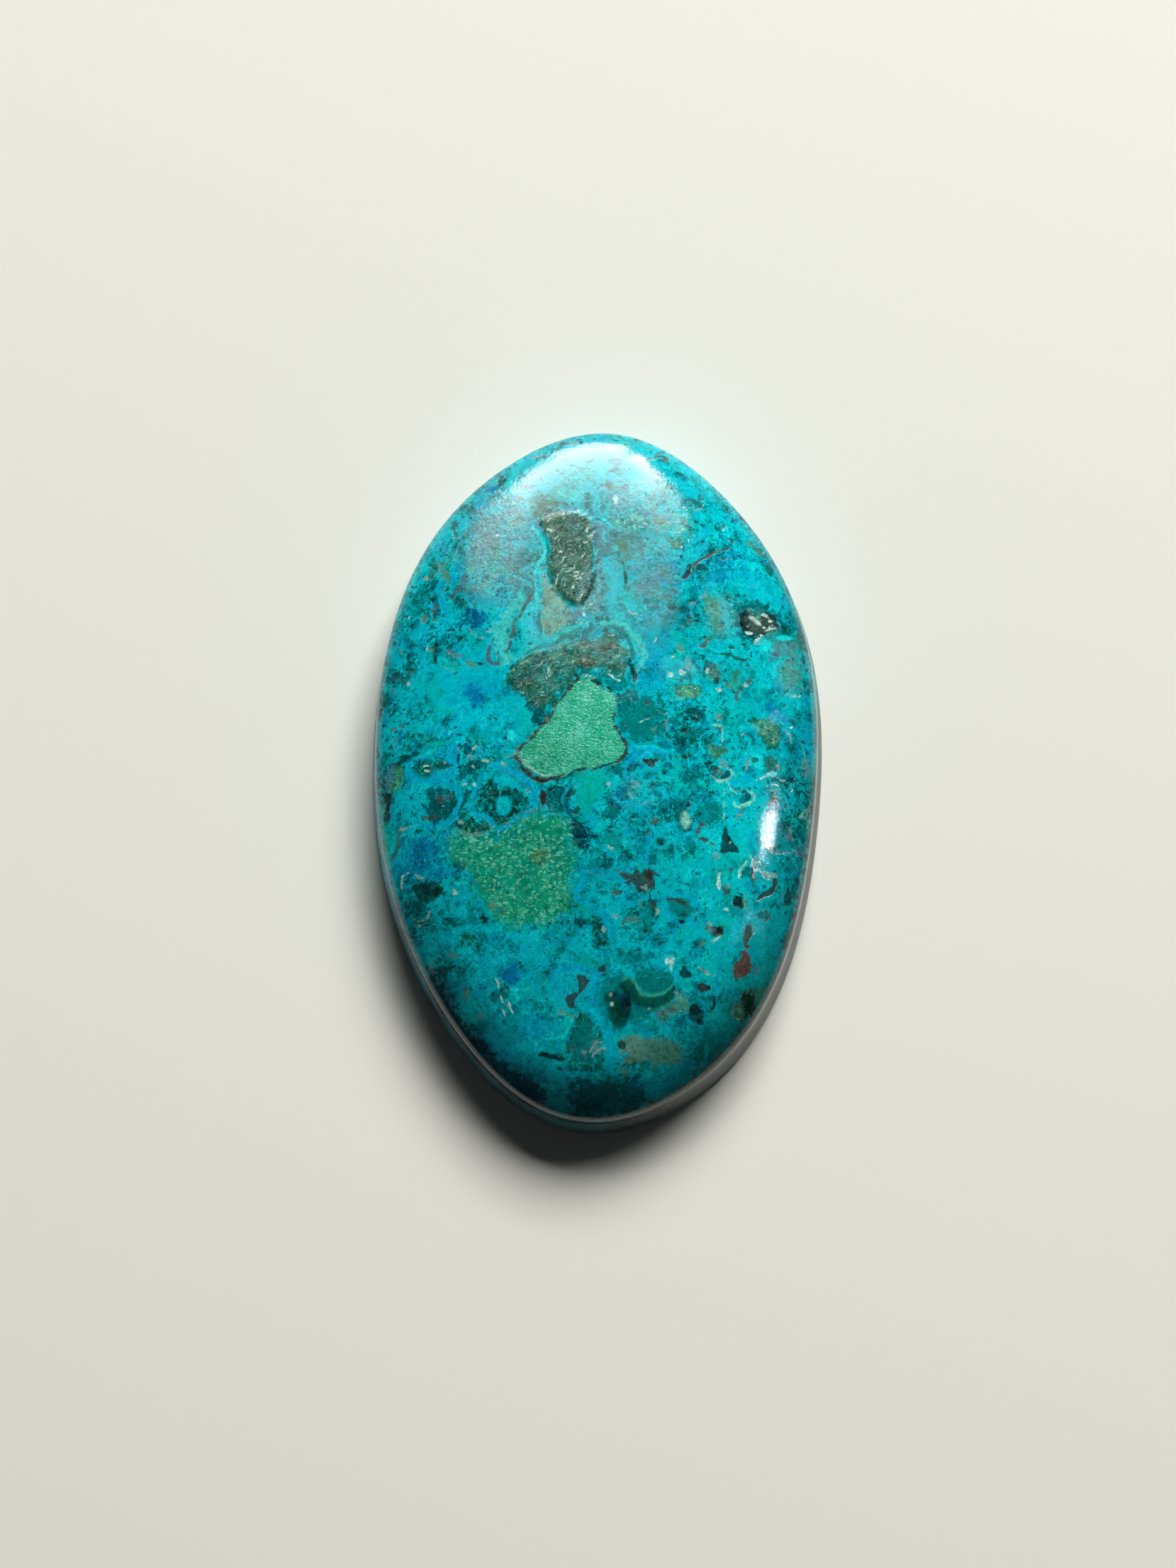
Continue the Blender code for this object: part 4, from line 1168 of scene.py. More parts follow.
sprinkle(
    ("deep teal", 0.12, (-7.85, 13.5, 0.22, 0.32), (-7.65, 12.9, 0.12, 0.2), (-6.75, 14.8, 0.18, 0.28),
     (-2.5, 13.85, 0.35, 0.18), (7, 13.35, 0.12, 0.14), (7.6, 12.5, 0.2, 0.15), (5.6, 14.6, 0.25, 0.4),
     (3.5, 17.4, 0.4, 0.13), (-3, 17.5, 0.3, 0.12), (-1.6, 18.3, 0.3, 0.1), (-1.1, 15.3, 0.2, 0.15),
     (5.1, 7.8, 0.14, 0.33), (10.2, 9.15, 0.13, 0.12), (-10.75, 5.1, 0.2, 0.2),
     (-10.6, 4.8, 0.2, 0.15)),
    ("blue", 0.2, (-8.35, 11.75, 0.2, 0.3), (-5.7, 15.7, 0.45, 0.35), (-8.3, 12.2, 0.22, 0.4),
     (1.1, -1.9, 0.3, 0.3), (-11.1, -0.5, 0.14, 0.3), (-8.9, -3.7, 0.2, 0.2)),
    ("azure", 0.15, (-6.35, 14.8, 0.3, 0.5), (1.2, 14.9, 0.25, 0.15), (9.9, 2.5, 0.4, 0.3),
     (-6.2, 0.6, 0.18, 0.2), (0.3, -6, 0.35, 0.16)),
    ("cyan", 0.12, (-7.3, 13.3, 0.18, 0.4), (-3.2, 11.85, 0.2, 0.28), (8.6, 10, 0.3, 0.2),
     (-1.2, -6.6, 0.14, 0.2)),
    ("turquoise", 0.15, (-7.8, 5.3, 0.35, 0.25), (-9.2, 1.3, 0.12, 0.1), (-11.7, -2.2, 0.2, 0.35),
     (-1.3, 15, 0.6, 0.25)),
    ("sky", 0.08, (-7.75, 1.7, 0.15, 0.08), (9.2, 6.5, 0.25, 0.35), (-7.25, -6.55, 0.13, 0.07),
     (-4.5, 1.4, 0.3, 0.2)),
    ("olive", 0.12, (0.65, 15.4, 0.35, 0.2), (-2.6, 14.3, 0.4, 0.3), (11.2, 7.2, 0.25, 0.18)),
    ("mauve", 0.1, (1.1, 17, 0.3, 0.15), (1.65, 15.2, 0.25, 0.18), (-8.8, 8.6, 0.12, 0.2),
     (-10, 5.15, 0.08, 0.08), (-2.6, 7.05, 0.15, 0.15), (4.4, 9.25, 0.15, 0.12),
     (4.75, 7.35, 0.13, 0.12), (6.8, 7.5, 0.18, 0.4), (10.6, 6.75, 0.35, 0.2),
     (-10.55, 2.15, 0.12, 0.1), (-8.9, -0.35, 0.14, 0.1), (-7.8, -1.9, 0.22, 0.1),
     (-2.6, -2.5, 0.2, 0.1), (10.95, -4.7, 0.22, 0.18), (-1.1, -15.3, 0.2, 0.15),
     (3.4, -13.6, 0.32, 0.22), (4.1, -13.4, 0.4, 0.1), (-7.7, 6.1, 0.14, 0.08)),
    ("bottle", 0.08, (-5.2, 16.1, 0.25, 0.4), (7.1, 11.3, 0.2, 0.13), (4.15, 8.4, 0.2, 0.13),
     (6.2, 8.5, 0.1, 0.1), (9.35, 8.65, 0.15, 0.13), (7.4, 6.25, 0.12, 0.14), (-8.7, 5.75, 0.14, 0.14),
     (-10.95, 6.8, 0.12, 0.2), (-8.05, 1.9, 0.13, 0.11), (-8.1, -0.1, 0.35, 0.18),
     (-5.5, -1.35, 0.22, 0.4), (-1.25, -1.85, 0.3, 0.18, 40), (-0.95, -2.7, 0.22, 0.18),
     (-7.85, -8.85, 0.12, 0.1), (-7.3, -8.75, 0.35, 0.09), (5.4, -8.3, 0.1, 0.28),
     (2.3, -10.2, 0.2, 0.09), (8.1, -12.8, 0.4, 0.5)),
    ("deep teal", 0.06, (-7.3, 5.35, 0.12, 0.1), (-7.45, 4.85, 0.09, 0.09), (-8.15, 5.4, 0.1, 0.09),
     (-8.6, 4.95, 0.09, 0.09), (8.25, 5.35, 0.09, 0.09), (5.5, 5, 0.1, 0.1), (-8.85, 2.85, 0.12, 0.1),
     (-7.45, 1.85, 0.15, 0.12), (-4.2, 2.75, 0.1, 0.1), (-4.5, 2.6, 0.08, 0.08), (3.4, 3, 0.12, 0.09),
     (3.9, 1.3, 0.12, 0.12), (6.65, 1.65, 0.15, 0.1), (6.2, 1.4, 0.12, 0.1), (10.75, 2.3, 0.15, 0.13),
     (8.5, 1.2, 0.12, 0.22), (8.1, 0.8, 0.12, 0.11), (7.35, 0.65, 0.08, 0.08), (8.05, 1.5, 0.08, 0.08),
     (11.35, 0.75, 0.15, 0.12), (7.2, -0.4, 0.15, 0.1), (4.7, -3.05, 0.15, 0.13),
     (10.2, -2.3, 0.15, 0.14), (10.5, -1.4, 0.12, 0.11), (10.8, -0.8, 0.12, 0.12),
     (11.6, -1.4, 0.12, 0.16), (-7.3, -7.6, 0.18, 0.15), (3.05, -5.4, 0.22, 0.28),
     (3.7, -6.55, 0.22, 0.13), (9.1, -8.2, 0.14, 0.28), (10, -4.8, 0.28, 0.12), (5.45, -6.05, 0.1, 0.1),
     (6.95, -0.7, 0.22, 0.18), (-7.35, 0.7, 0.1, 0.18), (-5.7, -1.95, 0.2, 0.15)),
    ("navy", 0.08, (-7.1, 0.8, 0.14, 0.14), (-6.9, 0.7, 0.2, 0.25), (0.9, -2.4, 0.2, 0.15),
     (-7.9, -8.4, 0.13, 0.12), (1.4, -12.6, 0.35, 0.3)),
    ("umber", 0.06, (4.25, 9.7, 0.12, 0.1), (0.3, 10.95, 0.12, 0.15), (3.7, 1.95, 0.15, 0.12),
     (-2.8, -2, 0.22, 0.35), (6.45, -0.6, 0.18, 0.28), (7.65, -1.5, 0.2, 0.12),
     (2.8, -3.95, 0.12, 0.15), (2.95, -6.2, 0.18, 0.36), (3, -7.7, 0.12, 0.2), (7.2, -5.85, 0.2, 0.12),
     (6.9, -7, 0.22, 0.28), (6.65, -5.95, 0.1, 0.09), (-1.65, -12.45, 0.09, 0.12),
     (-2.6, 2.25, 0.2, 0.25), (-11.75, 3, 0.1, 0.3), (-11.95, 1, 0.1, 0.3), (8.05, -10, 0.15, 0.2)),
    ("bark", 0.06, (0.75, 6.15, 0.6, 0.22, 8), (-0.5, 5.45, 0.5, 0.26, -15), (-3.4, 10.4, 0.14, 0.15),
     (5.8, 6.4, 0.35, 0.15, 25), (7.65, 3.6, 0.2, 0.28), (9.7, 6, 0.25, 0.14), (1.8, 0.8, 0.12, 0.12),
     (-3.6, 1.05, 0.13, 0.1), (2.8, 3.05, 0.13, 0.12), (1.2, -7.1, 0.28, 0.17),
     (1.65, -8.7, 0.15, 0.13), (9.45, -4.75, 0.12, 0.12), (-4.9, -8, 0.14, 0.2),
     (3.2, -3.35, 0.25, 0.18)),
    ("rust", 0.06, (8.3, 4.5, 0.2, 0.14, 40), (-8.85, -2.95, 0.35, 0.12), (-2.8, -5.6, 0.14, 0.1)),
    ("ink", 0.05, (5.45, 2.6, 0.1, 0.08), (5.45, 2.2, 0.08, 0.09), (4.75, 2.6, 0.09, 0.08),
     (4.8, 1.6, 0.09, 0.08), (8.55, 0.05, 0.2, 0.15), (11.25, 1.3, 0.09, 0.18), (10.3, 3.15, 0.13, 0.1),
     (8, -1.7, 0.15, 0.12), (5.1, -2.2, 0.15, 0.09), (5, -2.45, 0.15, 0.1), (1.6, -5.3, 0.1, 0.09),
     (1.9, -5.3, 0.08, 0.08), (2.1, -3.2, 0.15, 0.1), (4.6, -8.7, 0.17, 0.09), (3, -8.15, 0.1, 0.2),
     (-1.55, -8.85, 0.15, 0.07), (2.65, -9.1, 0.12, 0.07, 50), (-5.9, -8.45, 0.25, 0.18),
     (6.5, -9, 0.2, 0.23), (10.2, -7.3, 0.25, 0.45), (0.35, -11.2, 0.28, 0.17), (1.7, -13, 0.15, 0.32),
     (-2, -16.35, 0.15, 0.09), (1.4, -15.2, 0.2, 0.22), (2, -16.15, 0.2, 0.12),
     (5.25, -13.3, 0.23, 0.33), (5.5, -13.9, 0.18, 0.18), (7.85, 7.6, 0.12, 0.3)),
    ("slate", 0.08, (7.8, -2.85, 0.17, 0.27), (6.4, 4.6, 0.15, 0.2), (6.1, -9.05, 0.24, 0.2),
     (10.4, -3.85, 0.17, 0.33), (8.5, -11.1, 0.2, 0.2)),
    ("khaki", 0.07, (-7.55, 12.7, 0.12, 0.28), (1.5, 12, 0.3, 0.4), (-10.5, 6.3, 0.1, 0.1),
     (-8.7, 8, 0.1, 0.12), (-11, 4.15, 0.1, 0.09), (4.5, 6.2, 0.3, 0.14, -45), (-10.85, 1.5, 0.1, 0.2),
     (-4.2, 0.5, 0.1, 0.1), (-3.3, -2.7, 0.2, 0.12), (9.9, -0.15, 0.12, 0.1),
     (-5.35, -7.65, 0.22, 0.28), (2.4, -7.8, 0.12, 0.24), (2.05, -8.6, 0.28, 0.18),
     (5.7, -9.85, 0.2, 0.1, 30), (-7.5, -10.35, 0.38, 0.14), (-6.85, -12.3, 0.14, 0.28),
     (-1.25, -13.65, 0.15, 0.09), (7.5, -13.3, 0.28, 0.32), (1.5, -16.4, 0.22, 0.2),
     (-6.1, -13.5, 0.15, 0.24)),
    ("haze", 0.1, (4.15, 8.1, 0.13, 0.15), (8.85, 6.6, 0.2, 0.12), (6.65, -0.65, 0.12, 0.12),
     (6.85, -0.2, 0.24, 0.18), (2.2, -1.25, 0.18, 0.15), (2, -1.85, 0.12, 0.12), (2.8, -2.3, 0.12, 0.1),
     (-1, -1.5, 0.12, 0.09), (6.45, -5.2, 0.12, 0.2), (7, -6.7, 0.12, 0.12), (-8.8, -10.9, 0.1, 0.2),
     (4.3, -12.6, 0.18, 0.18), (0, -15.3, 0.25, 0.35), (-0.6, -15.5, 0.15, 0.2),
     (3.15, 1.65, 0.11, 0.09), (5.05, 5.2, 0.18, 0.28)),
    ("tan", 0.05, (-8.8, 6.25, 0.15, 0.12), (-9.25, 8.1, 0.2, 0.26), (-4.2, 13.4, 0.25, 0.15),
     (3.5, 13.3, 0.4, 0.25), (8.3, 8.4, 0.13, 0.1), (-10.95, 2.05, 0.13, 0.12),
     (-11.05, 1.1, 0.1, 0.13), (-6.65, 0.25, 0.13, 0.12), (-6.75, -3.85, 0.25, 0.14),
     (-6.2, -3.9, 0.38, 0.08), (6.65, 2.35, 0.22, 0.22), (1, -4.85, 0.09, 0.14), (9.5, -6, 0.2, 0.1),
     (-1.75, -13.5, 0.18, 0.1), (0.65, -11.1, 0.1, 0.09), (-2.6, 2.25, 0.13, 0.17)),
    ("cream", 0.05, (-9.3, 10.6, 0.12, 0.12), (-8.8, 10.65, 0.12, 0.11), (-3.3, 10.1, 0.1, 0.1),
     (-3.45, 9.1, 0.09, 0.1), (-0.5, 5.5, 0.28, 0.07, -15), (-8.1, -2.4, 0.1, 0.09),
     (-7.1, -3.3, 0.15, 0.09), (-10.2, -3.3, 0.28, 0.1), (-10.25, -3.62, 0.12, 0.09),
     (-3.6, -1.65, 0.1, 0.09), (-5.75, -4.35, 0.1, 0.07), (0.4, -9.1, 0.13, 0.15),
     (2.7, -6.85, 0.12, 0.2), (1.15, -8.4, 0.12, 0.09), (2.8, -13.2, 0.09, 0.09),
     (-10.45, -6.6, 0.1, 0.12), (-9.5, -8.55, 0.12, 0.07), (0.8, -12.55, 0.1, 0.08)),
    ("silver", 0.06, (8.05, 7.95, 0.1, 0.05, 20), (8.2, 7.5, 0.07, 0.05), (8.55, 7.35, 0.09, 0.04, 40),
     (8.75, 7.15, 0.06, 0.05), (9, 7.85, 0.08, 0.04, 60), (9.2, 8.1, 0.07, 0.05),
     (9.45, 7.9, 0.09, 0.04, 20), (9.6, 7.7, 0.06, 0.05), (9.1, 7.45, 0.08, 0.05, 30),
     (9.4, 7.5, 0.05, 0.05), (8.3, 8.2, 0.06, 0.05)),
    ("bone", 0.05, (-5.3, 12.6, 0.1, 0.1), (-0.25, 12.4, 0.14, 0.1), (1.2, 14.5, 0.14, 0.22),
     (4.7, 11.95, 0.12, 0.08), (5.1, 12.2, 0.1, 0.09), (7, 13.1, 0.07, 0.07), (-9.05, 6.4, 0.1, 0.12),
     (-10.05, 4.45, 0.12, 0.1), (-0.2, 8.7, 0.08, 0.08), (-0.55, 8.4, 0.08, 0.09),
     (-0.65, 8.05, 0.08, 0.07), (-0.75, 7.6, 0.08, 0.08), (8.3, 7.12, 0.24, 0.1),
     (9.1, 8.25, 0.2, 0.09), (9, 7.05, 0.08, 0.08), (4.75, 4.75, 0.15, 0.13), (4.1, 4.65, 0.13, 0.1),
     (4.15, 5.65, 0.12, 0.1), (6.05, 4.8, 0.08, 0.12), (8.15, 4.2, 0.12, 0.12), (6.7, 3.8, 0.12, 0.1),
     (1.75, 1.85, 0.07, 0.07), (0.8, -1.35, 0.08, 0.07), (-7.05, -1.2, 0.08, 0.08),
     (-6.5, -1.3, 0.08, 0.08), (7.9, 1.5, 0.07, 0.07), (-8.1, 0.1, 0.09, 0.08),
     (7.15, -4.4, 0.08, 0.07), (-7.5, -7, 0.1, 0.1), (0.8, -4.65, 0.11, 0.09), (6.85, -7.95, 0.1, 0.08),
     (7.1, -8.2, 0.07, 0.07), (6.05, -8.75, 0.1, 0.07), (6.5, -9.4, 0.07, 0.07),
     (6.25, -9.6, 0.07, 0.07), (3.85, -10.85, 0.15, 0.13), (0.85, -13, 0.1, 0.08),
     (6, -11.45, 0.1, 0.07)),
)
flecks.store()

# %% [markdown]
# ## Fine textures
# Some minerals have a grain of their own: fibrous patches with silvery hairs, a window packed
# with tiny pale pellets, pale flakes on the malachite. The silvery hairs are partly painted sheen.
# The finish draws them, and only has to know where each one belongs, so a row holds a strength, a
# softness and a shape. Four more of these weights hold no mineral: "calm" keeps the ground plain,
# "sparkle" and "dimples" roughen the polish, and "shade" is painted shade, which darkens the
# lower shoulder, the lower-left rim and the side walls. The milky patches in the upper third are
# partly painted sheen.

# %% Where each texture lies
spread(
    "fibres",
    (1, 0.3, -2.9, 13.3, -1.2, 14, 0, 13.2, -0.1, 10.5, -0.7, 8.6, -2.2, 9.5, -2.5, 11.5),
    (0.7, 0.3, -4.3, 5.2, -3.2, 6, -1.6, 6.3, -1.8, 4.6, -2.4, 2.9, -3.6, 3.2, -4.7, 4.2),
    (0.45, 0.3, -2.8, 10.2, -1.7, 8.9, -1, 7.5, -2.5, 6.9, -2.9, 8.5),
    (0.5, 0.4, -4.8, 15, -3.4, 14.8, -3.4, 12.8, -4.9, 12.8),
    (0.75, 0.4, -1.8, 6.2, 0, 6.6, 1.8, 6, 1.5, 4.6, 0.8, 4.9, -0.9, 4.8, -1.9, 3.4),
)
spread(
    "granules",
    (1, 0.1, *WINDOW),
    (0.9, 0.1, -10.9, -0.6, 0.5, 0.7),
    (0.8, 0.1, 4.4, 3.9, 5.5, 4.1, 5.7, 3.5, 4.5, 3.4),
    (0.6, 0.1, 8.4, 2.2, 9.5, 2.3, 9.9, 1.6, 9.5, 0.9, 8.9, 1.4),
    (0.5, 0.1, 6, 1, 7, 0.5, 6.3, 0.2),
    (0.5, 0.1, 6.4, 4.8, 0.4, 0.55, -30),
    (0.7, 0.1, 8.9, 7.7, 0.9, 0.6, -10),
)
spread(
    "frost",
    (0.9, 0.5, -7.6, -4.3, -6.3, -6.3, -5, -8.4, -2.2, -8.6, -1.2, -6.5, -1.4, -3.4, -3.6, -3.2),
    (1, 0.6, -2.6, -4, 1.3, 1.1),
    # Partly painted glint: pale flakes where the window sparkles, near the top.
    (1, 0.3, 2.1, 13.2, 0.9, 0.4),
    (0.6, 0.4, -6.2, -3.9, 1.4, 0.3),
)
spread(
    # Partly painted sheen: the three patches in the upper third and the faint one at the top tint the
    # ground with haze where the window's haze is mirrored.
    "milk_and_sheen",
    (0.9, 1, 1.7, 12, 4, 12, 4.2, 9.4, 3.6, 7.6, 1.9, 7.8),
    (1, 1, -6.8, 14, -4.2, 14.6, -3.7, 11, -4.4, 9.2, -6.6, 9.6),
    (1, 0.8, 1, 15.4, 4.2, 15, 4.4, 12.8, 1.2, 12.6),
    (0.3, 0.5, 4.6, 4.8, 0.8, 0.6),
    (0.4, 0.4, -0.2, -15.3, 0.5, 0.5),
    (0.7, 0.6, 10.5, 5.4, 0.5, 1.2),
    (0.6, 0.6, 7, 7.9, 0.9, 1),
    (0.25, 0.6, 2.4, -1.7, 0.9, 0.9),
    (0.14, 0.5, 9.3, -3.5, 0.8, 1.2),
    (0.15, 1, -0.5, 16.6, 3.5, 1.3),
    (0.8, 0.3, 8.9, 7.7, 0.9, 0.6, -10),
)
spread(
    "speckle",
    (1, 0.4, -9, 9.2, -8.5, 9.2, -8.4, 6.2, -8.9, 5.6),
    (0.8, 0.6, 4.2, 2.4, 5.4, 3, 6, 2.4, 5.6, 0.8, 4.3, 0.6),
    (0.8, 0.8, 9.2, -0.6, 11.8, -0.8, 11.6, -3.4, 9.4, -3.2),
    (0.9, 0.4, 1, -1.9, 0.4, 0.9),
    (0.7, 0.8, -10.2, 5.4, 0.6, 0.9),
    (0.6, 0.8, -10.6, 3, -9.8, 1, -11.2, 0.6, -11.4, 2.6),
    (0.7, 1, 7, -12, 9, -12, 8, -15, 5, -16),
    (0.6, 0.6, -10, -2.2, 0.7, 0.9),
)
spread(
    "calm",
    (0.95, 0.9, -6.9, 4.6, 2.6, 1.5, 12),
    (0.9, 0.6, -3.9, 2.9, 1.1, 1.5),
    (0.8, 0.6, 2.6, 2.2, 1.3, 1.2),
    (0.95, 0.4, -0.9, -0.6, 0.6, -0.5, 0.7, -1, 0, -2.3, -0.4, -2.9, -0.9, -2.5),
    (0.9, 0.8, 7.8, -9.4, 1.9, 1.9),
    (0.7, 0.8, 3.5, 7, 1.4, 1),
    (0.8, 0.6, 9.2, 9.5, 1.3, 0.8),
    (0.6, 0.6, 1.4, 9.6, 0.8, 1.8),
    (0.8, 0.6, -0.6, -13.3, 0.3, -14.2, 0.9, -16.4, 1.4, -14.8, 3.4, -14.3, 5.6, -14.4, 2.6, -13.8),
    (0.7, 0.5, 8, -4.4, 0.8, 1.2),
    (0.7, 0.7, -1.6, -12.3, 0.5, 1.2),
    (0.7, 0.8, 4, -11.6, 1.5, 0.8),
    (0.8, 1, -8.4, -11.6, -5, -14.2, -2.5, -16, 0, -16.6, 3, -16.4, 6, -13.6, 9.5, -10, 12, -8, 6, -20,
     -6, -20),
    (0.8, 0.4, 0.2, -12.2, 1.3, -11.5, 4.2, -12, 3, -13.6, 1, -14.3),
    (0.6, 0.5, 4.5, -8, 1.1, 0.9),
    (0.5, 1, 0.8, -10.6, 2.6, 0.8),
    (0.5, 0.8, 8.6, 3, 1, 2),
    (0.5, 0.8, -3.6, -12.9, 1.2, 1.6),
)
spread(
    "sparkle",
    (1, 0.5, 9.35, -3.6, 0.6, 0.8),
    (0.8, 1.5, -0.2, 15.2, 6, 3.2),
)
spread(
    "dimples",
    (0.7, 0.8, 4.4, 14.2, 1.6, 2),
    (0.5, 0.8, -4.6, 14.8, 2, 1.6),
    (0.6, 0.6, 1.4, 12.4, 1.2, 0.8),
)
# Painted shade: this weight darkens the colour of the lower shoulder, the lower-left rim and the side
# walls.
spread(
    "shade",
    (0.25, 4, -3, -9.5, 8.5, 8),
    (0.5, 2, -8.4, -12, 2.4, 3.4, 30),
    (0.35, 1.5, 1.8, -12.9, 2.4, 1.2),
    (1, 3.2, -12.5, -7, -10.2, -7.4, -8.9, -10, -7, -12.7, -5, -15, -2.8, -16.4, 0, -16.8, 3, -16.2,
     5.6, -14.2, 8, -11, 10, -7.4, 11, -3.4, 11.6, 0, 13.5, 0, 13, -12, 6, -21, -6, -21, -13, -12),
    (0.5, 1.2, 11.4, 7, 11.6, 3, 11.6, -2, 13.5, -2, 13.5, 7),
    (0.5, 1, 8, 14, 9.4, 12.2, 10.8, 8.8, 11.2, 4, 11.2, -2, 10.6, -6, 9.4, -9.5, 13, -10, 14, 0, 13, 9,
     9.6, 15),
    (0.5, 1.2, -11.6, 6, -11.8, 1, -11.7, -7, -13.5, -7, -13.5, 6),
)

# %% Hollows: the soft minerals lie a little below the polished face
points[:, 2] -= hollow
stone.data.vertices.foreach_set("co", (points * MM).ravel())
stone.data.update()
print("hollows: up to", round(float(hollow.max()), 3), "mm deep")

# %% [markdown]
# ## The finish
# The shapes only say where each mineral lies. What makes them look like stone is everything
# smaller than that: ragged edges, clouds within clouds, specks, hair-thin cracks. Noise and
# Voronoi textures give those without end, at several sizes, as formulas of the place on the stone.

# %% Building blocks of the finish
class Paint(Bench):
    """A bench for the stone's material, with textures that are sized in millimetres."""

    def __init__(self, material):
        super().__init__(material.node_tree)
        self.shader = material.node_tree.nodes["Principled BSDF"]
        coordinates = self.node("ShaderNodeTexCoord", output="Object")
        self.place = self.scaled(coordinates, 1 / MM)
        self.bent = self.warped(self.place, 0.7, 1.1)

    def vectors(self, operation, first, second):
        return self.node("ShaderNodeVectorMath", {"operation": operation}, {0: first, 1: second})

    def scaled(self, vector, factor):
        """A place further from the middle, or a colour made lighter, by a factor."""
        inputs = {0: vector, "Scale": factor}
        return self.node("ShaderNodeVectorMath", {"operation": "SCALE"}, inputs)

    def warped(self, place, scale, size):
        """The place pushed about by up to half of size, in swirls 1 / scale wide."""
        swirl = self.vectors("SUBTRACT", self.noise(place, scale).out("Color"), (0.5, 0.5, 0.5))
        return self.vectors("ADD", place, self.scaled(swirl, size))

    def noise(self, place, scale, detail=3.0, roughness=0.55):
        """Clouds from 0 to 1, mostly between 0.3 and 0.7."""
        inputs = {"Vector": place, "Scale": scale, "Detail": detail, "Roughness": roughness}
        return self.node("ShaderNodeTexNoise", None, inputs)

    def shift(self, x, y):
        """The same place somewhere else, so that two textures don't line up."""
        return self.vectors("ADD", self.place, (x, y, 0.0))

    def drift(self, x, y, *shape_of_noise):
        """Clouds from another place."""
        return self.noise(self.shift(x, y), *shape_of_noise)

    def threads(self, place, scale, width):
        """Curling lines, where the clouds of a noise pass through their middle value."""
        return 1.0 - abs(self.noise(place, scale, 3.0, 0.6) - 0.5).rise(0.0, width)

    def cells(self, place, scale, feature="F1"):
        inputs = {"Vector": place, "Scale": scale}
        return self.node("ShaderNodeTexVoronoi", {"feature": feature}, inputs, output="Distance")

    def luck(self, cell):
        """Three numbers that are each cell's own, from 0 to 1: Red, the first output, Green and Blue."""
        return self.node("ShaderNodeSeparateColor", None, {"Color": cell.out("Color")})

    def specks(self, place, scale, chance, radius):
        """Round specks: a cell holds one by chance, each of its own size. Radius is in cells."""
        cell = self.cells(place, scale)
        luck = self.luck(cell)
        size = (luck.out("Green") * 0.7 + 0.3) * radius
        return (luck > 1.0 - chance) * (size - cell).rise(-0.02, 0.08)

    def attribute(self, name, output="Fac"):
        return self.node("ShaderNodeAttribute", {"attribute_name": name}, output=output)

    def coated(self, colour, where, *coats):
        """The colour under coats of minerals: each coat's mineral, its strength and its mask."""
        for mineral, strength, mask in coats:
            colour = self.mixed(mask * where * strength, colour, (*MINERALS[mineral], 1.0))
        return colour


EVERYWHERE = 1.0
print("finish: helpers ready")

# %% Ground: drifts, and the structure in everything that has no texture of its own
def painted_ground(paint):
    return paint.coated(
        paint.attribute("ground tint", "Color"), EVERYWHERE,
        ("azure", 0.4, paint.noise(paint.bent, 0.42, 4.0).rise(0.52, 0.6)),
        ("turquoise", 0.55, paint.drift(40, 0, 0.5, 4.0).rise(0.5, 0.58)),
        ("blue", 0.5, paint.drift(0, 70, 0.9, 4.0).rise(0.55, 0.64)),
    )


def laced(paint, colour, free):
    """A net of pale rims round cells half a millimetre wide, some of them dark inside."""
    place = paint.warped(paint.place, 2.2, 0.9)
    free = free * paint.drift(33, 12, 0.45).rise(0.47, 0.56)
    rim = paint.cells(place, 1.25, "DISTANCE_TO_EDGE")
    luck = paint.luck(paint.cells(place, 1.25))
    return paint.coated(
        colour, free,
        ("deep teal", 0.6, rim.rise(0.07, 0.2) * (luck > 0.5)),
        ("sky", 0.6, 1.0 - rim.rise(0.015, 0.07)),
    )


def structured(paint, colour, moss, bright, free):
    """Dark moss and cells, bright streams and rims. Free is where nothing else has a texture."""
    edge = paint.cells(paint.warped(paint.place, 1.4, 1.5), 0.55, "DISTANCE_TO_EDGE")
    region = paint.drift(9, 5, 0.4).rise(0.46, 0.56) * free
    colour = paint.coated(colour, region, ("teal", 0.5, edge.rise(0.08, 0.2)))
    colour = paint.coated(
        colour, free,
        ("deep teal", 0.65, moss.rise(0.545, 0.59)),
        ("bottle", 0.5, moss.rise(0.61, 0.64)),
    )
    colour = paint.coated(colour, region, ("azure", 0.6, 1.0 - edge.rise(0.02, 0.11)))
    colour = laced(paint, colour, free)
    streams = paint.threads(paint.warped(paint.place, 0.9, 1.6), 0.4, 0.045)
    return paint.coated(
        colour, free,
        ("cyan", 0.6, bright.rise(0.53, 0.59)),
        ("sky", 0.5, bright.rise(0.61, 0.66)),
        ("cyan", 0.75, streams * bright.rise(0.42, 0.5)),
    )


def threaded(paint, colour, moss, bright, free):
    """Pale rims, dark cracks and fine curls, all of them lines."""
    rims = paint.threads(paint.warped(paint.place, 1.6, 1.0), 0.9, 0.026)
    cracks = paint.threads(paint.warped(paint.shift(5, 5), 2.5, 0.6), 1.5, 0.03)
    curls = paint.threads(paint.warped(paint.shift(31, 8), 2.2, 0.7), 2.0, 0.022)
    return paint.coated(
        colour, free,
        ("sky", 0.8, rims * bright.rise(0.42, 0.5)),
        ("bottle", 0.75, cracks * moss.rise(0.47, 0.54)),
        ("turquoise", 0.5, curls * moss.rise(0.44, 0.5)),
    )


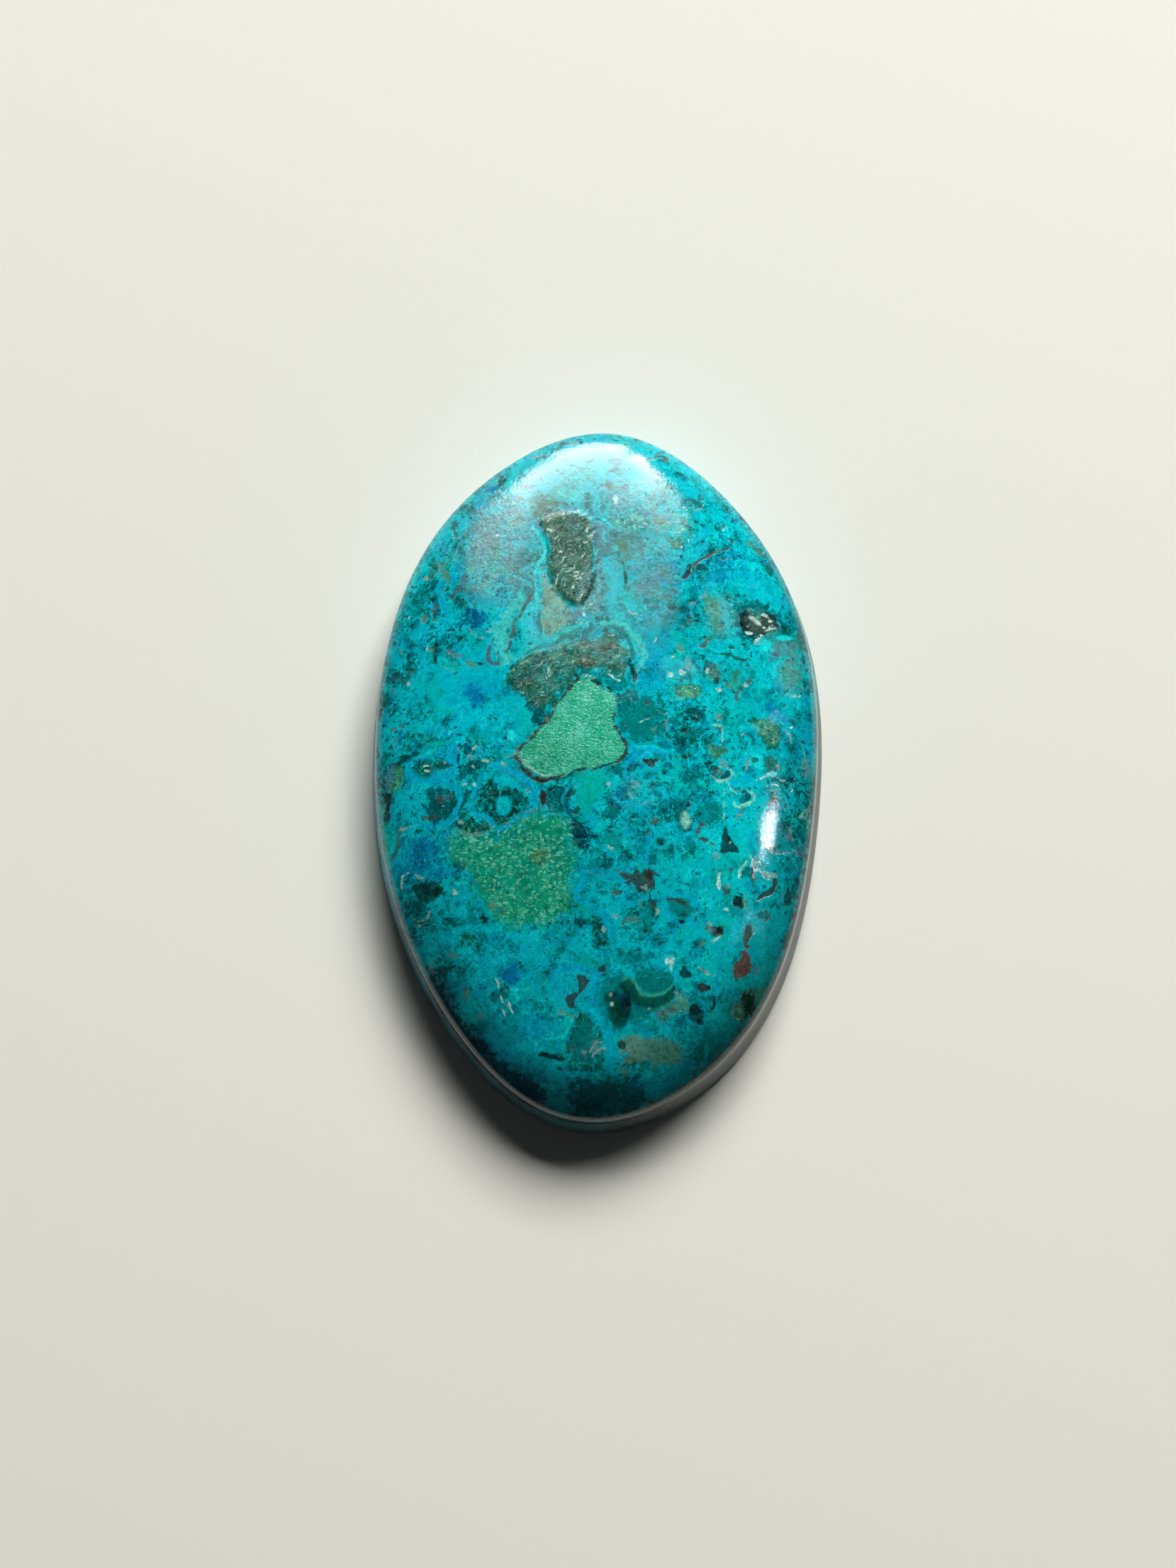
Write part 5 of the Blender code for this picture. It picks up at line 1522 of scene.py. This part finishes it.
def speckled(paint, colour, free):
    """Grit, pits and painted glints everywhere, and more of them with brown grains in the speckled parts.
    """
    weight = paint.attribute("speckle")
    colour = paint.coated(
        colour, free,
        ("bottle", 0.8, (paint.drift(2, 9, 3.4, 4.0, 0.65) + weight * 0.07).rise(0.6, 0.64)),
        ("ink", 0.75, (paint.drift(17, 3, 2.1, 4.0, 0.6) + weight * 0.05).rise(0.64, 0.67)),
        # painted glints: small sky-coloured specks
        ("sky", 0.6, paint.drift(7, 1, 4.4, 3.0, 0.6).rise(0.655, 0.7)),
    )
    return paint.coated(colour, weight, ("khaki", 0.6, paint.specks(paint.shift(7, 1), 4.5, 0.25, 0.35)))


# %% Textures: milk, fibres, granules and frost
def milky(paint, colour):
    """Pale clouds, and where they rise a little. In the upper third they are partly painted sheen."""
    weight = paint.attribute("milk_and_sheen")
    broad = paint.noise(paint.bent, 0.9, 5.0, 0.65)
    fine = paint.drift(3, 8, 2.6, 5.0, 0.7)
    colour = paint.coated(
        colour, weight,
        ("haze", 0.6, broad.rise(0.42, 0.56)),
        ("slate", 0.55, fine.rise(0.52, 0.6)),
        ("teal", 0.5, 1.0 - fine.rise(0.38, 0.44)),
    )
    return colour, weight * fine


def fibrous(paint, colour):
    """Silvery hairs on dark ground, all combed one way: a noise that is drawn out along its x. The silver
    is partly painted sheen.
    """
    weight = paint.attribute("fibres")
    turned = {"Vector": paint.warped(paint.place, 1.2, 1.0), "Angle": math.radians(-48)}
    along = paint.node("ShaderNodeVectorRotate", {"rotation_type": "Z_AXIS"}, turned)
    hairs = paint.noise(paint.vectors("MULTIPLY", along, (1.6, 4.5, 1.0)), 1.0, 4.0, 0.7)
    colour = paint.coated(
        colour, weight,
        ("bottle", 0.75, 1.0 - hairs.rise(0.4, 0.48)),
        ("lichen", 0.4, hairs.rise(0.5, 0.56)),
        # partly painted sheen: the silvery hairs
        ("silver", 0.9, hairs.rise(0.6, 0.65)),
    )
    return colour, weight * weight * weight * hairs


def granular(paint, colour):
    """Pale pellets, packed like cells, and the gaps between them."""
    weight = paint.attribute("granules")
    pellet = paint.cells(paint.warped(paint.place, 4.0, 0.25), 7.5)
    luck = paint.luck(pellet)
    gaps = pellet.rise(0.35, 0.65)
    clouds = paint.drift(8, 8, 0.8, 4.0, 0.65)
    flaws = paint.drift(6, 2, 3.0, 4.0, 0.65)
    colour = paint.coated(
        colour, weight,
        ("malachite", 0.4, luck > 0.6),
        ("pale mint", 0.4, luck.out("Green") > 0.78),
        ("malachite", 0.42, gaps),
        ("malachite", 0.5, clouds.rise(0.48, 0.56)),
        ("pale mint", 0.3, 1.0 - clouds.rise(0.4, 0.46)),
        ("forest", 0.6, flaws.rise(0.6, 0.65)),
        ("pale mint", 0.5, 1.0 - flaws.rise(0.34, 0.4)),
    )
    return colour, gaps * weight


def flaked(paint, colour):
    """Pale flakes on green, each a cell that a noise bites into."""
    weight = paint.attribute("frost")
    bent = paint.warped(paint.place, 2.4, 0.6)
    flake = paint.cells(paint.vectors("MULTIPLY", bent, (1.0, 1.3, 1.0)), 4.6)
    luck = paint.luck(flake)
    clouds = paint.drift(4, 12, 1.1, 4.0, 0.6)
    colour = paint.coated(
        colour, weight,
        ("teal", 0.4, clouds.rise(0.52, 0.6)),
        ("forest", 0.5, 1.0 - (luck > 0.3)),
    )
    body = 1.0 - (flake + paint.drift(21, 2, 2.2, 3.0, 0.6) - 0.5).rise(0.46, 0.56)
    pale = weight * body * (luck.out("Green") > 0.2)
    colour = paint.coated(
        colour, pale,
        ("mint", 1.0, luck.out("Blue") * 0.7 + 0.2),
        ("pale mint", 0.6, luck.out("Blue") > 0.7),
    )
    return colour, pale


# %% Shapes laid over each other, and the shader
COLOUR_LEVEL = 0.58  # the minerals' brightness before the grain is added
SHADE_STRENGTH = 0.86
POLISHED, WORN, OPEN_GRAIN, SAWN = 0.045, 0.045, 0.1, 0.35  # a polish's roughness, and what adds to it
SAW_MARKS_BELOW = (2.6, 3.8)  # millimetres from the floor
CHRYSOCOLLA_IOR = 1.6
EDGES = {"area": (8.0, 0.5), "vein": (7.0, 0.5), "fleck": (9.0, 0.6)}  # how ragged, and how soft
VEIN_STRENGTH, FLECK_STRENGTH = 0.85, 0.7

# How high each relief stands, or how deep it lies, in millimetres.
RELIEF = {
    "ripple": 0.002,
    "grain": 0.002,
    "bright": 0.006,
    "pits": 0.014,
    "dimples": 0.022,
    "fibres": 0.16,
    "milk_and_sheen": 0.06,
    "flakes": 0.02,
    "gaps": 0.012,
    "flecks": 0.008,
    "veins": 0.004,
}


def covered(paint, colour, name, rough, strength):
    """The colour with one layer of shapes over it, and the layer's mask."""
    ragged, soft = EDGES[name]
    edge = (paint.attribute(name + " depth") + rough * ragged).rise(-soft, soft)
    mask = (edge * strength).clamped()
    tint = paint.attribute(name + " tint", "Color")
    return paint.mixed(mask, colour, tint), mask


def polished(material):
    paint = Paint(material)
    rough = paint.noise(paint.place, 2.6, 5.0, 0.68) - 0.5
    grain = paint.drift(11, 11, 7.0, 3.0, 0.6)
    mood = paint.drift(50, 30, 0.24, 2.0) - 0.5
    moss = paint.noise(paint.bent, 0.9, 6.0, 0.68) + mood * 0.3
    bright = paint.drift(20, 20, 0.75, 6.0, 0.68) - mood * 0.3

    colour = painted_ground(paint)
    colour, area_mask = covered(paint, colour, "area", rough, 0.5 + moss)
    textured = paint.attribute("granules") + paint.attribute("frost") + paint.attribute("fibres")
    free = (1.0 - textured * 0.9).clamped() * (1.0 - paint.attribute("calm") * 0.85)
    colour = structured(paint, colour, moss, bright, free * (1.0 - area_mask * 0.7))
    colour = threaded(paint, colour, moss, bright, free)
    colour = speckled(paint, colour, free)

    colour, silver = fibrous(paint, colour)
    colour, clouded = milky(paint, colour)
    colour, gaps = granular(paint, colour)
    colour, flakes = flaked(paint, colour)
    colour, vein_mask = covered(paint, colour, "vein", rough, VEIN_STRENGTH)
    colour, fleck_mask = covered(paint, colour, "fleck", rough, FLECK_STRENGTH)
    # Painted shade: the shade weight darkens the base colour.
    dim = 1.0 - paint.attribute("shade") * SHADE_STRENGTH
    mottle = (paint.drift(13, 4, 3.2, 4.0, 0.7) - 0.5) * (vein_mask + fleck_mask)
    colour = paint.scaled(colour, (COLOUR_LEVEL + grain + mottle * 2.4) * dim)
    paint.plug(paint.shader.inputs["Base Color"], colour)

    height = paint.node("ShaderNodeSeparateXYZ", None, {"Vector": paint.place}).out("Z")
    sawn = 1.0 - height.rise(*SAW_MARKS_BELOW)
    open_grain = fleck_mask * OPEN_GRAIN + gaps * OPEN_GRAIN
    roughness = POLISHED + moss.rise(0.5, 0.7) * WORN + open_grain + sawn * SAWN
    paint.plug(paint.shader.inputs["Roughness"], roughness)
    paint.shader.inputs["IOR"].default_value = CHRYSOCOLLA_IOR

    # All reliefs are in millimetres, so their sum is the height of a bump one millimetre high.
    ripple = paint.noise(paint.place, 1.4, 2.0) * RELIEF["ripple"]
    pitted = paint.noise(paint.place, 5.0, 3.0, 0.6) * RELIEF["pits"]
    dimples = (pitted + RELIEF["dimples"]) * paint.attribute("dimples")
    polish = ripple + grain * RELIEF["grain"] + bright * RELIEF["bright"]
    polish = polish + (dimples + pitted * paint.attribute("sparkle"))
    inlay = silver * RELIEF["fibres"] + clouded * RELIEF["milk_and_sheen"]
    inlay = inlay + flakes * RELIEF["flakes"] - gaps * RELIEF["gaps"]
    relief = polish + inlay - fleck_mask * RELIEF["flecks"] - vein_mask * RELIEF["veins"]
    bump = {"Height": relief, "Strength": 1.0, "Distance": MM}
    paint.plug(paint.shader.inputs["Normal"], paint.node("ShaderNodeBump", None, bump))
    print("finish:", len(material.node_tree.nodes), "nodes")


polished(finish)
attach(stone, "root")
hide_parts("polished_stone")

# %% [markdown]
# ## The floor, the light and the camera
# The stone lies on a wide sheet of pale paper, without a shine, so that nothing but the stone
# catches the eye.

# %% Floor
FLOOR_REACH = 3.0  # metres from the middle to each side
PAPER = (0.86, 0.86, 0.84, 1.0)


def pale_floor():
    mesh = bpy.data.meshes.new("floor")
    signs = ((-1, -1), (1, -1), (1, 1), (-1, 1))
    corners = [(x * FLOOR_REACH, y * FLOOR_REACH, 0) for x, y in signs]
    mesh.from_pydata(corners, [], [(0, 1, 2, 3)])
    floor = bpy.data.objects.new("floor", mesh)
    bpy.context.scene.collection.objects.link(floor)
    paper = bpy.data.materials.new("pale_paper")
    paper.use_nodes = True
    shader = paper.node_tree.nodes["Principled BSDF"]
    shader.inputs["Base Color"].default_value = PAPER
    shader.inputs["Roughness"].default_value = 0.9
    shader.inputs["Specular IOR Level"].default_value = 0.0
    mesh.materials.append(paper)
    print("floor:", 2 * FLOOR_REACH, "m wide")


pale_floor()

# %% [markdown]
# A polish shows only what it mirrors. Here that is one tall window beyond the stone's upper end,
# brightest at its foot, which leaves the broad sheen there. It is built as a stack of panes, each
# a little dimmer than the one below and as wide as the sheen is there, between two thin bright
# jambs that draw its clear sides. One narrow lamp at the right leaves the small glint on that
# shoulder. The colours need light of another kind: a soft box that no polish mirrors, so that
# shading and sheen can be set apart.

# %% Lights
def direction(azimuth, elevation):
    """From the stone outwards; azimuth 0 is +Y, and grows towards +X."""
    turn, rise = math.radians(azimuth), math.radians(elevation)
    return Vector((math.sin(turn) * math.cos(rise), math.cos(turn) * math.cos(rise), math.sin(rise)))


LAMP_DISTANCE = 0.6
lamps = []


def soft_box(name, azimuth, low, high, half_width, radiance):
    """A soft box that fills this part of the stone's sky, in degrees."""
    light = bpy.data.lights.new(name, "AREA")
    light.shape = "RECTANGLE"
    light.size = 2 * LAMP_DISTANCE * math.tan(math.radians(half_width))
    light.size_y = 2 * LAMP_DISTANCE * math.tan(math.radians((high - low) / 2))
    light.energy = radiance * math.pi * light.size * light.size_y
    lamp = bpy.data.objects.new(name, light)
    lamp.location = direction(azimuth, (low + high) / 2) * LAMP_DISTANCE
    lamp.rotation_euler = (-lamp.location).to_track_quat("-Z", "Y").to_euler()
    bpy.context.scene.collection.objects.link(lamp)
    lamps.append(lamp)
    return lamp


# %% The window and the glint, which only a polish shows
PANE_HEIGHT = 6  # of the sky's 90 degrees
PANE_LOWS = range(6, 72, PANE_HEIGHT)
JAMB_LOWS = range(12, 54, PANE_HEIGHT)
PANE_REACH = 30  # degrees of azimuth from the window's middle to its side
NARROWER_REACHES = {6: 14, 12: 20, 18: 25, 24: 28, 48: 26, 54: 24, 60: 20, 66: 18}
FACING = -4
PANE_RADIANCE, PANE_FADE = 15.5, 25  # at the foot of the window, and the degrees over which it fades
JAMBS = ((-1, 30.0), (1, 45.0))  # side and radiance
JAMB_FADE = 60
JAMB_HALF_WIDTH = 1.0


def seen_width(reach, elevation):
    """Half the angle that a reach in azimuth spans at this elevation."""
    run = math.tan(math.radians(reach)) * math.cos(math.radians(elevation))
    return math.degrees(math.atan(run))


def mirrored(name, **sizes):
    """A soft box that lights nothing, and is only seen in the polish."""
    soft_box(name, **sizes).visible_diffuse = False


for low in PANE_LOWS:
    middle, high = low + PANE_HEIGHT / 2, low + PANE_HEIGHT
    above_foot = middle - PANE_LOWS.start
    reach = NARROWER_REACHES.get(low, PANE_REACH)
    span = {"low": low, "high": high}
    radiance = PANE_RADIANCE * math.exp(-above_foot / PANE_FADE)
    half_width = seen_width(reach, middle)
    mirrored(f"pane_{low}", azimuth=FACING, half_width=half_width, radiance=radiance, **span)
    for side, brilliance in JAMBS if low in JAMB_LOWS else ():
        side_of = {"azimuth": FACING + side * reach, "half_width": JAMB_HALF_WIDTH}
        radiance = brilliance * math.exp(-above_foot / JAMB_FADE)
        mirrored(f"jamb_{low}_{side}", radiance=radiance, **side_of, **span)
mirrored("side_glint", azimuth=86.5, low=32.5, high=42, half_width=0.45, radiance=200.0)

# %% The soft box for the colours, and the sky
HORIZON, OVERHEAD = (0.5, 0.5, 0.48, 1.0), (0.018, 0.018, 0.018, 1.0)
DUSK = (0.02, 0.16)  # the heights, from 0 to 1, between which the sky turns dark
WARM_WHITE = (1.0, 1.0, 0.92)

key = soft_box("key", azimuth=20, low=32, high=60, half_width=16, radiance=14.5)
key.data.color = WARM_WHITE
key.visible_glossy = False
print("lights:", len(lamps))


def studio_sky():
    """Pale near the floor and dark above, where a polish would mirror it."""
    world = bpy.context.scene.world or bpy.data.worlds.new("studio")
    bpy.context.scene.world = world
    world.use_nodes = True
    bench = Bench(world.node_tree)
    heading = bench.node("ShaderNodeTexCoord", output="Generated")
    height = bench.node("ShaderNodeSeparateXYZ", None, {"Vector": heading}).out("Z")
    sky = bench.mixed(height.rise(*DUSK), HORIZON, OVERHEAD)
    bench.plug(world.node_tree.nodes["Background"].inputs["Color"], sky)


studio_sky()

# %% Camera
CAMERA_AZIMUTH = math.radians(8)
CAMERA_ELEVATION = math.radians(79.5)
CAMERA_DISTANCE = 0.150
AIM_HEIGHT = 0.003
LENS, SENSOR = 63.02, 36.0  # millimetres, along the picture's long side
NEAREST_SEEN = 0.01
SLIDE_LEFT = 0.000449
SLIDE_DOWN = 0.000643


def place_camera():
    back = Vector((
        math.sin(CAMERA_AZIMUTH) * math.cos(CAMERA_ELEVATION),
        -math.cos(CAMERA_AZIMUTH) * math.cos(CAMERA_ELEVATION),
        math.sin(CAMERA_ELEVATION),
    ))
    right = Vector((0, 1, 0)).cross(back).normalized()
    up = back.cross(right)
    lens = bpy.data.cameras.new("camera")
    lens.lens = LENS
    lens.sensor_width = SENSOR
    lens.clip_start = NEAREST_SEEN
    camera = bpy.data.objects.new("camera", lens)
    bpy.context.scene.collection.objects.link(camera)
    camera.location = Vector((0, 0, AIM_HEIGHT)) + back * CAMERA_DISTANCE
    camera.location -= right * SLIDE_LEFT + up * SLIDE_DOWN
    camera.rotation_euler = Matrix((right, up, back)).transposed().to_euler()
    bpy.context.scene.camera = camera
    print("camera at", [round(side / MM, 1) for side in camera.location], "mm")


place_camera()
bpy.context.scene.view_settings.view_transform = "Standard"
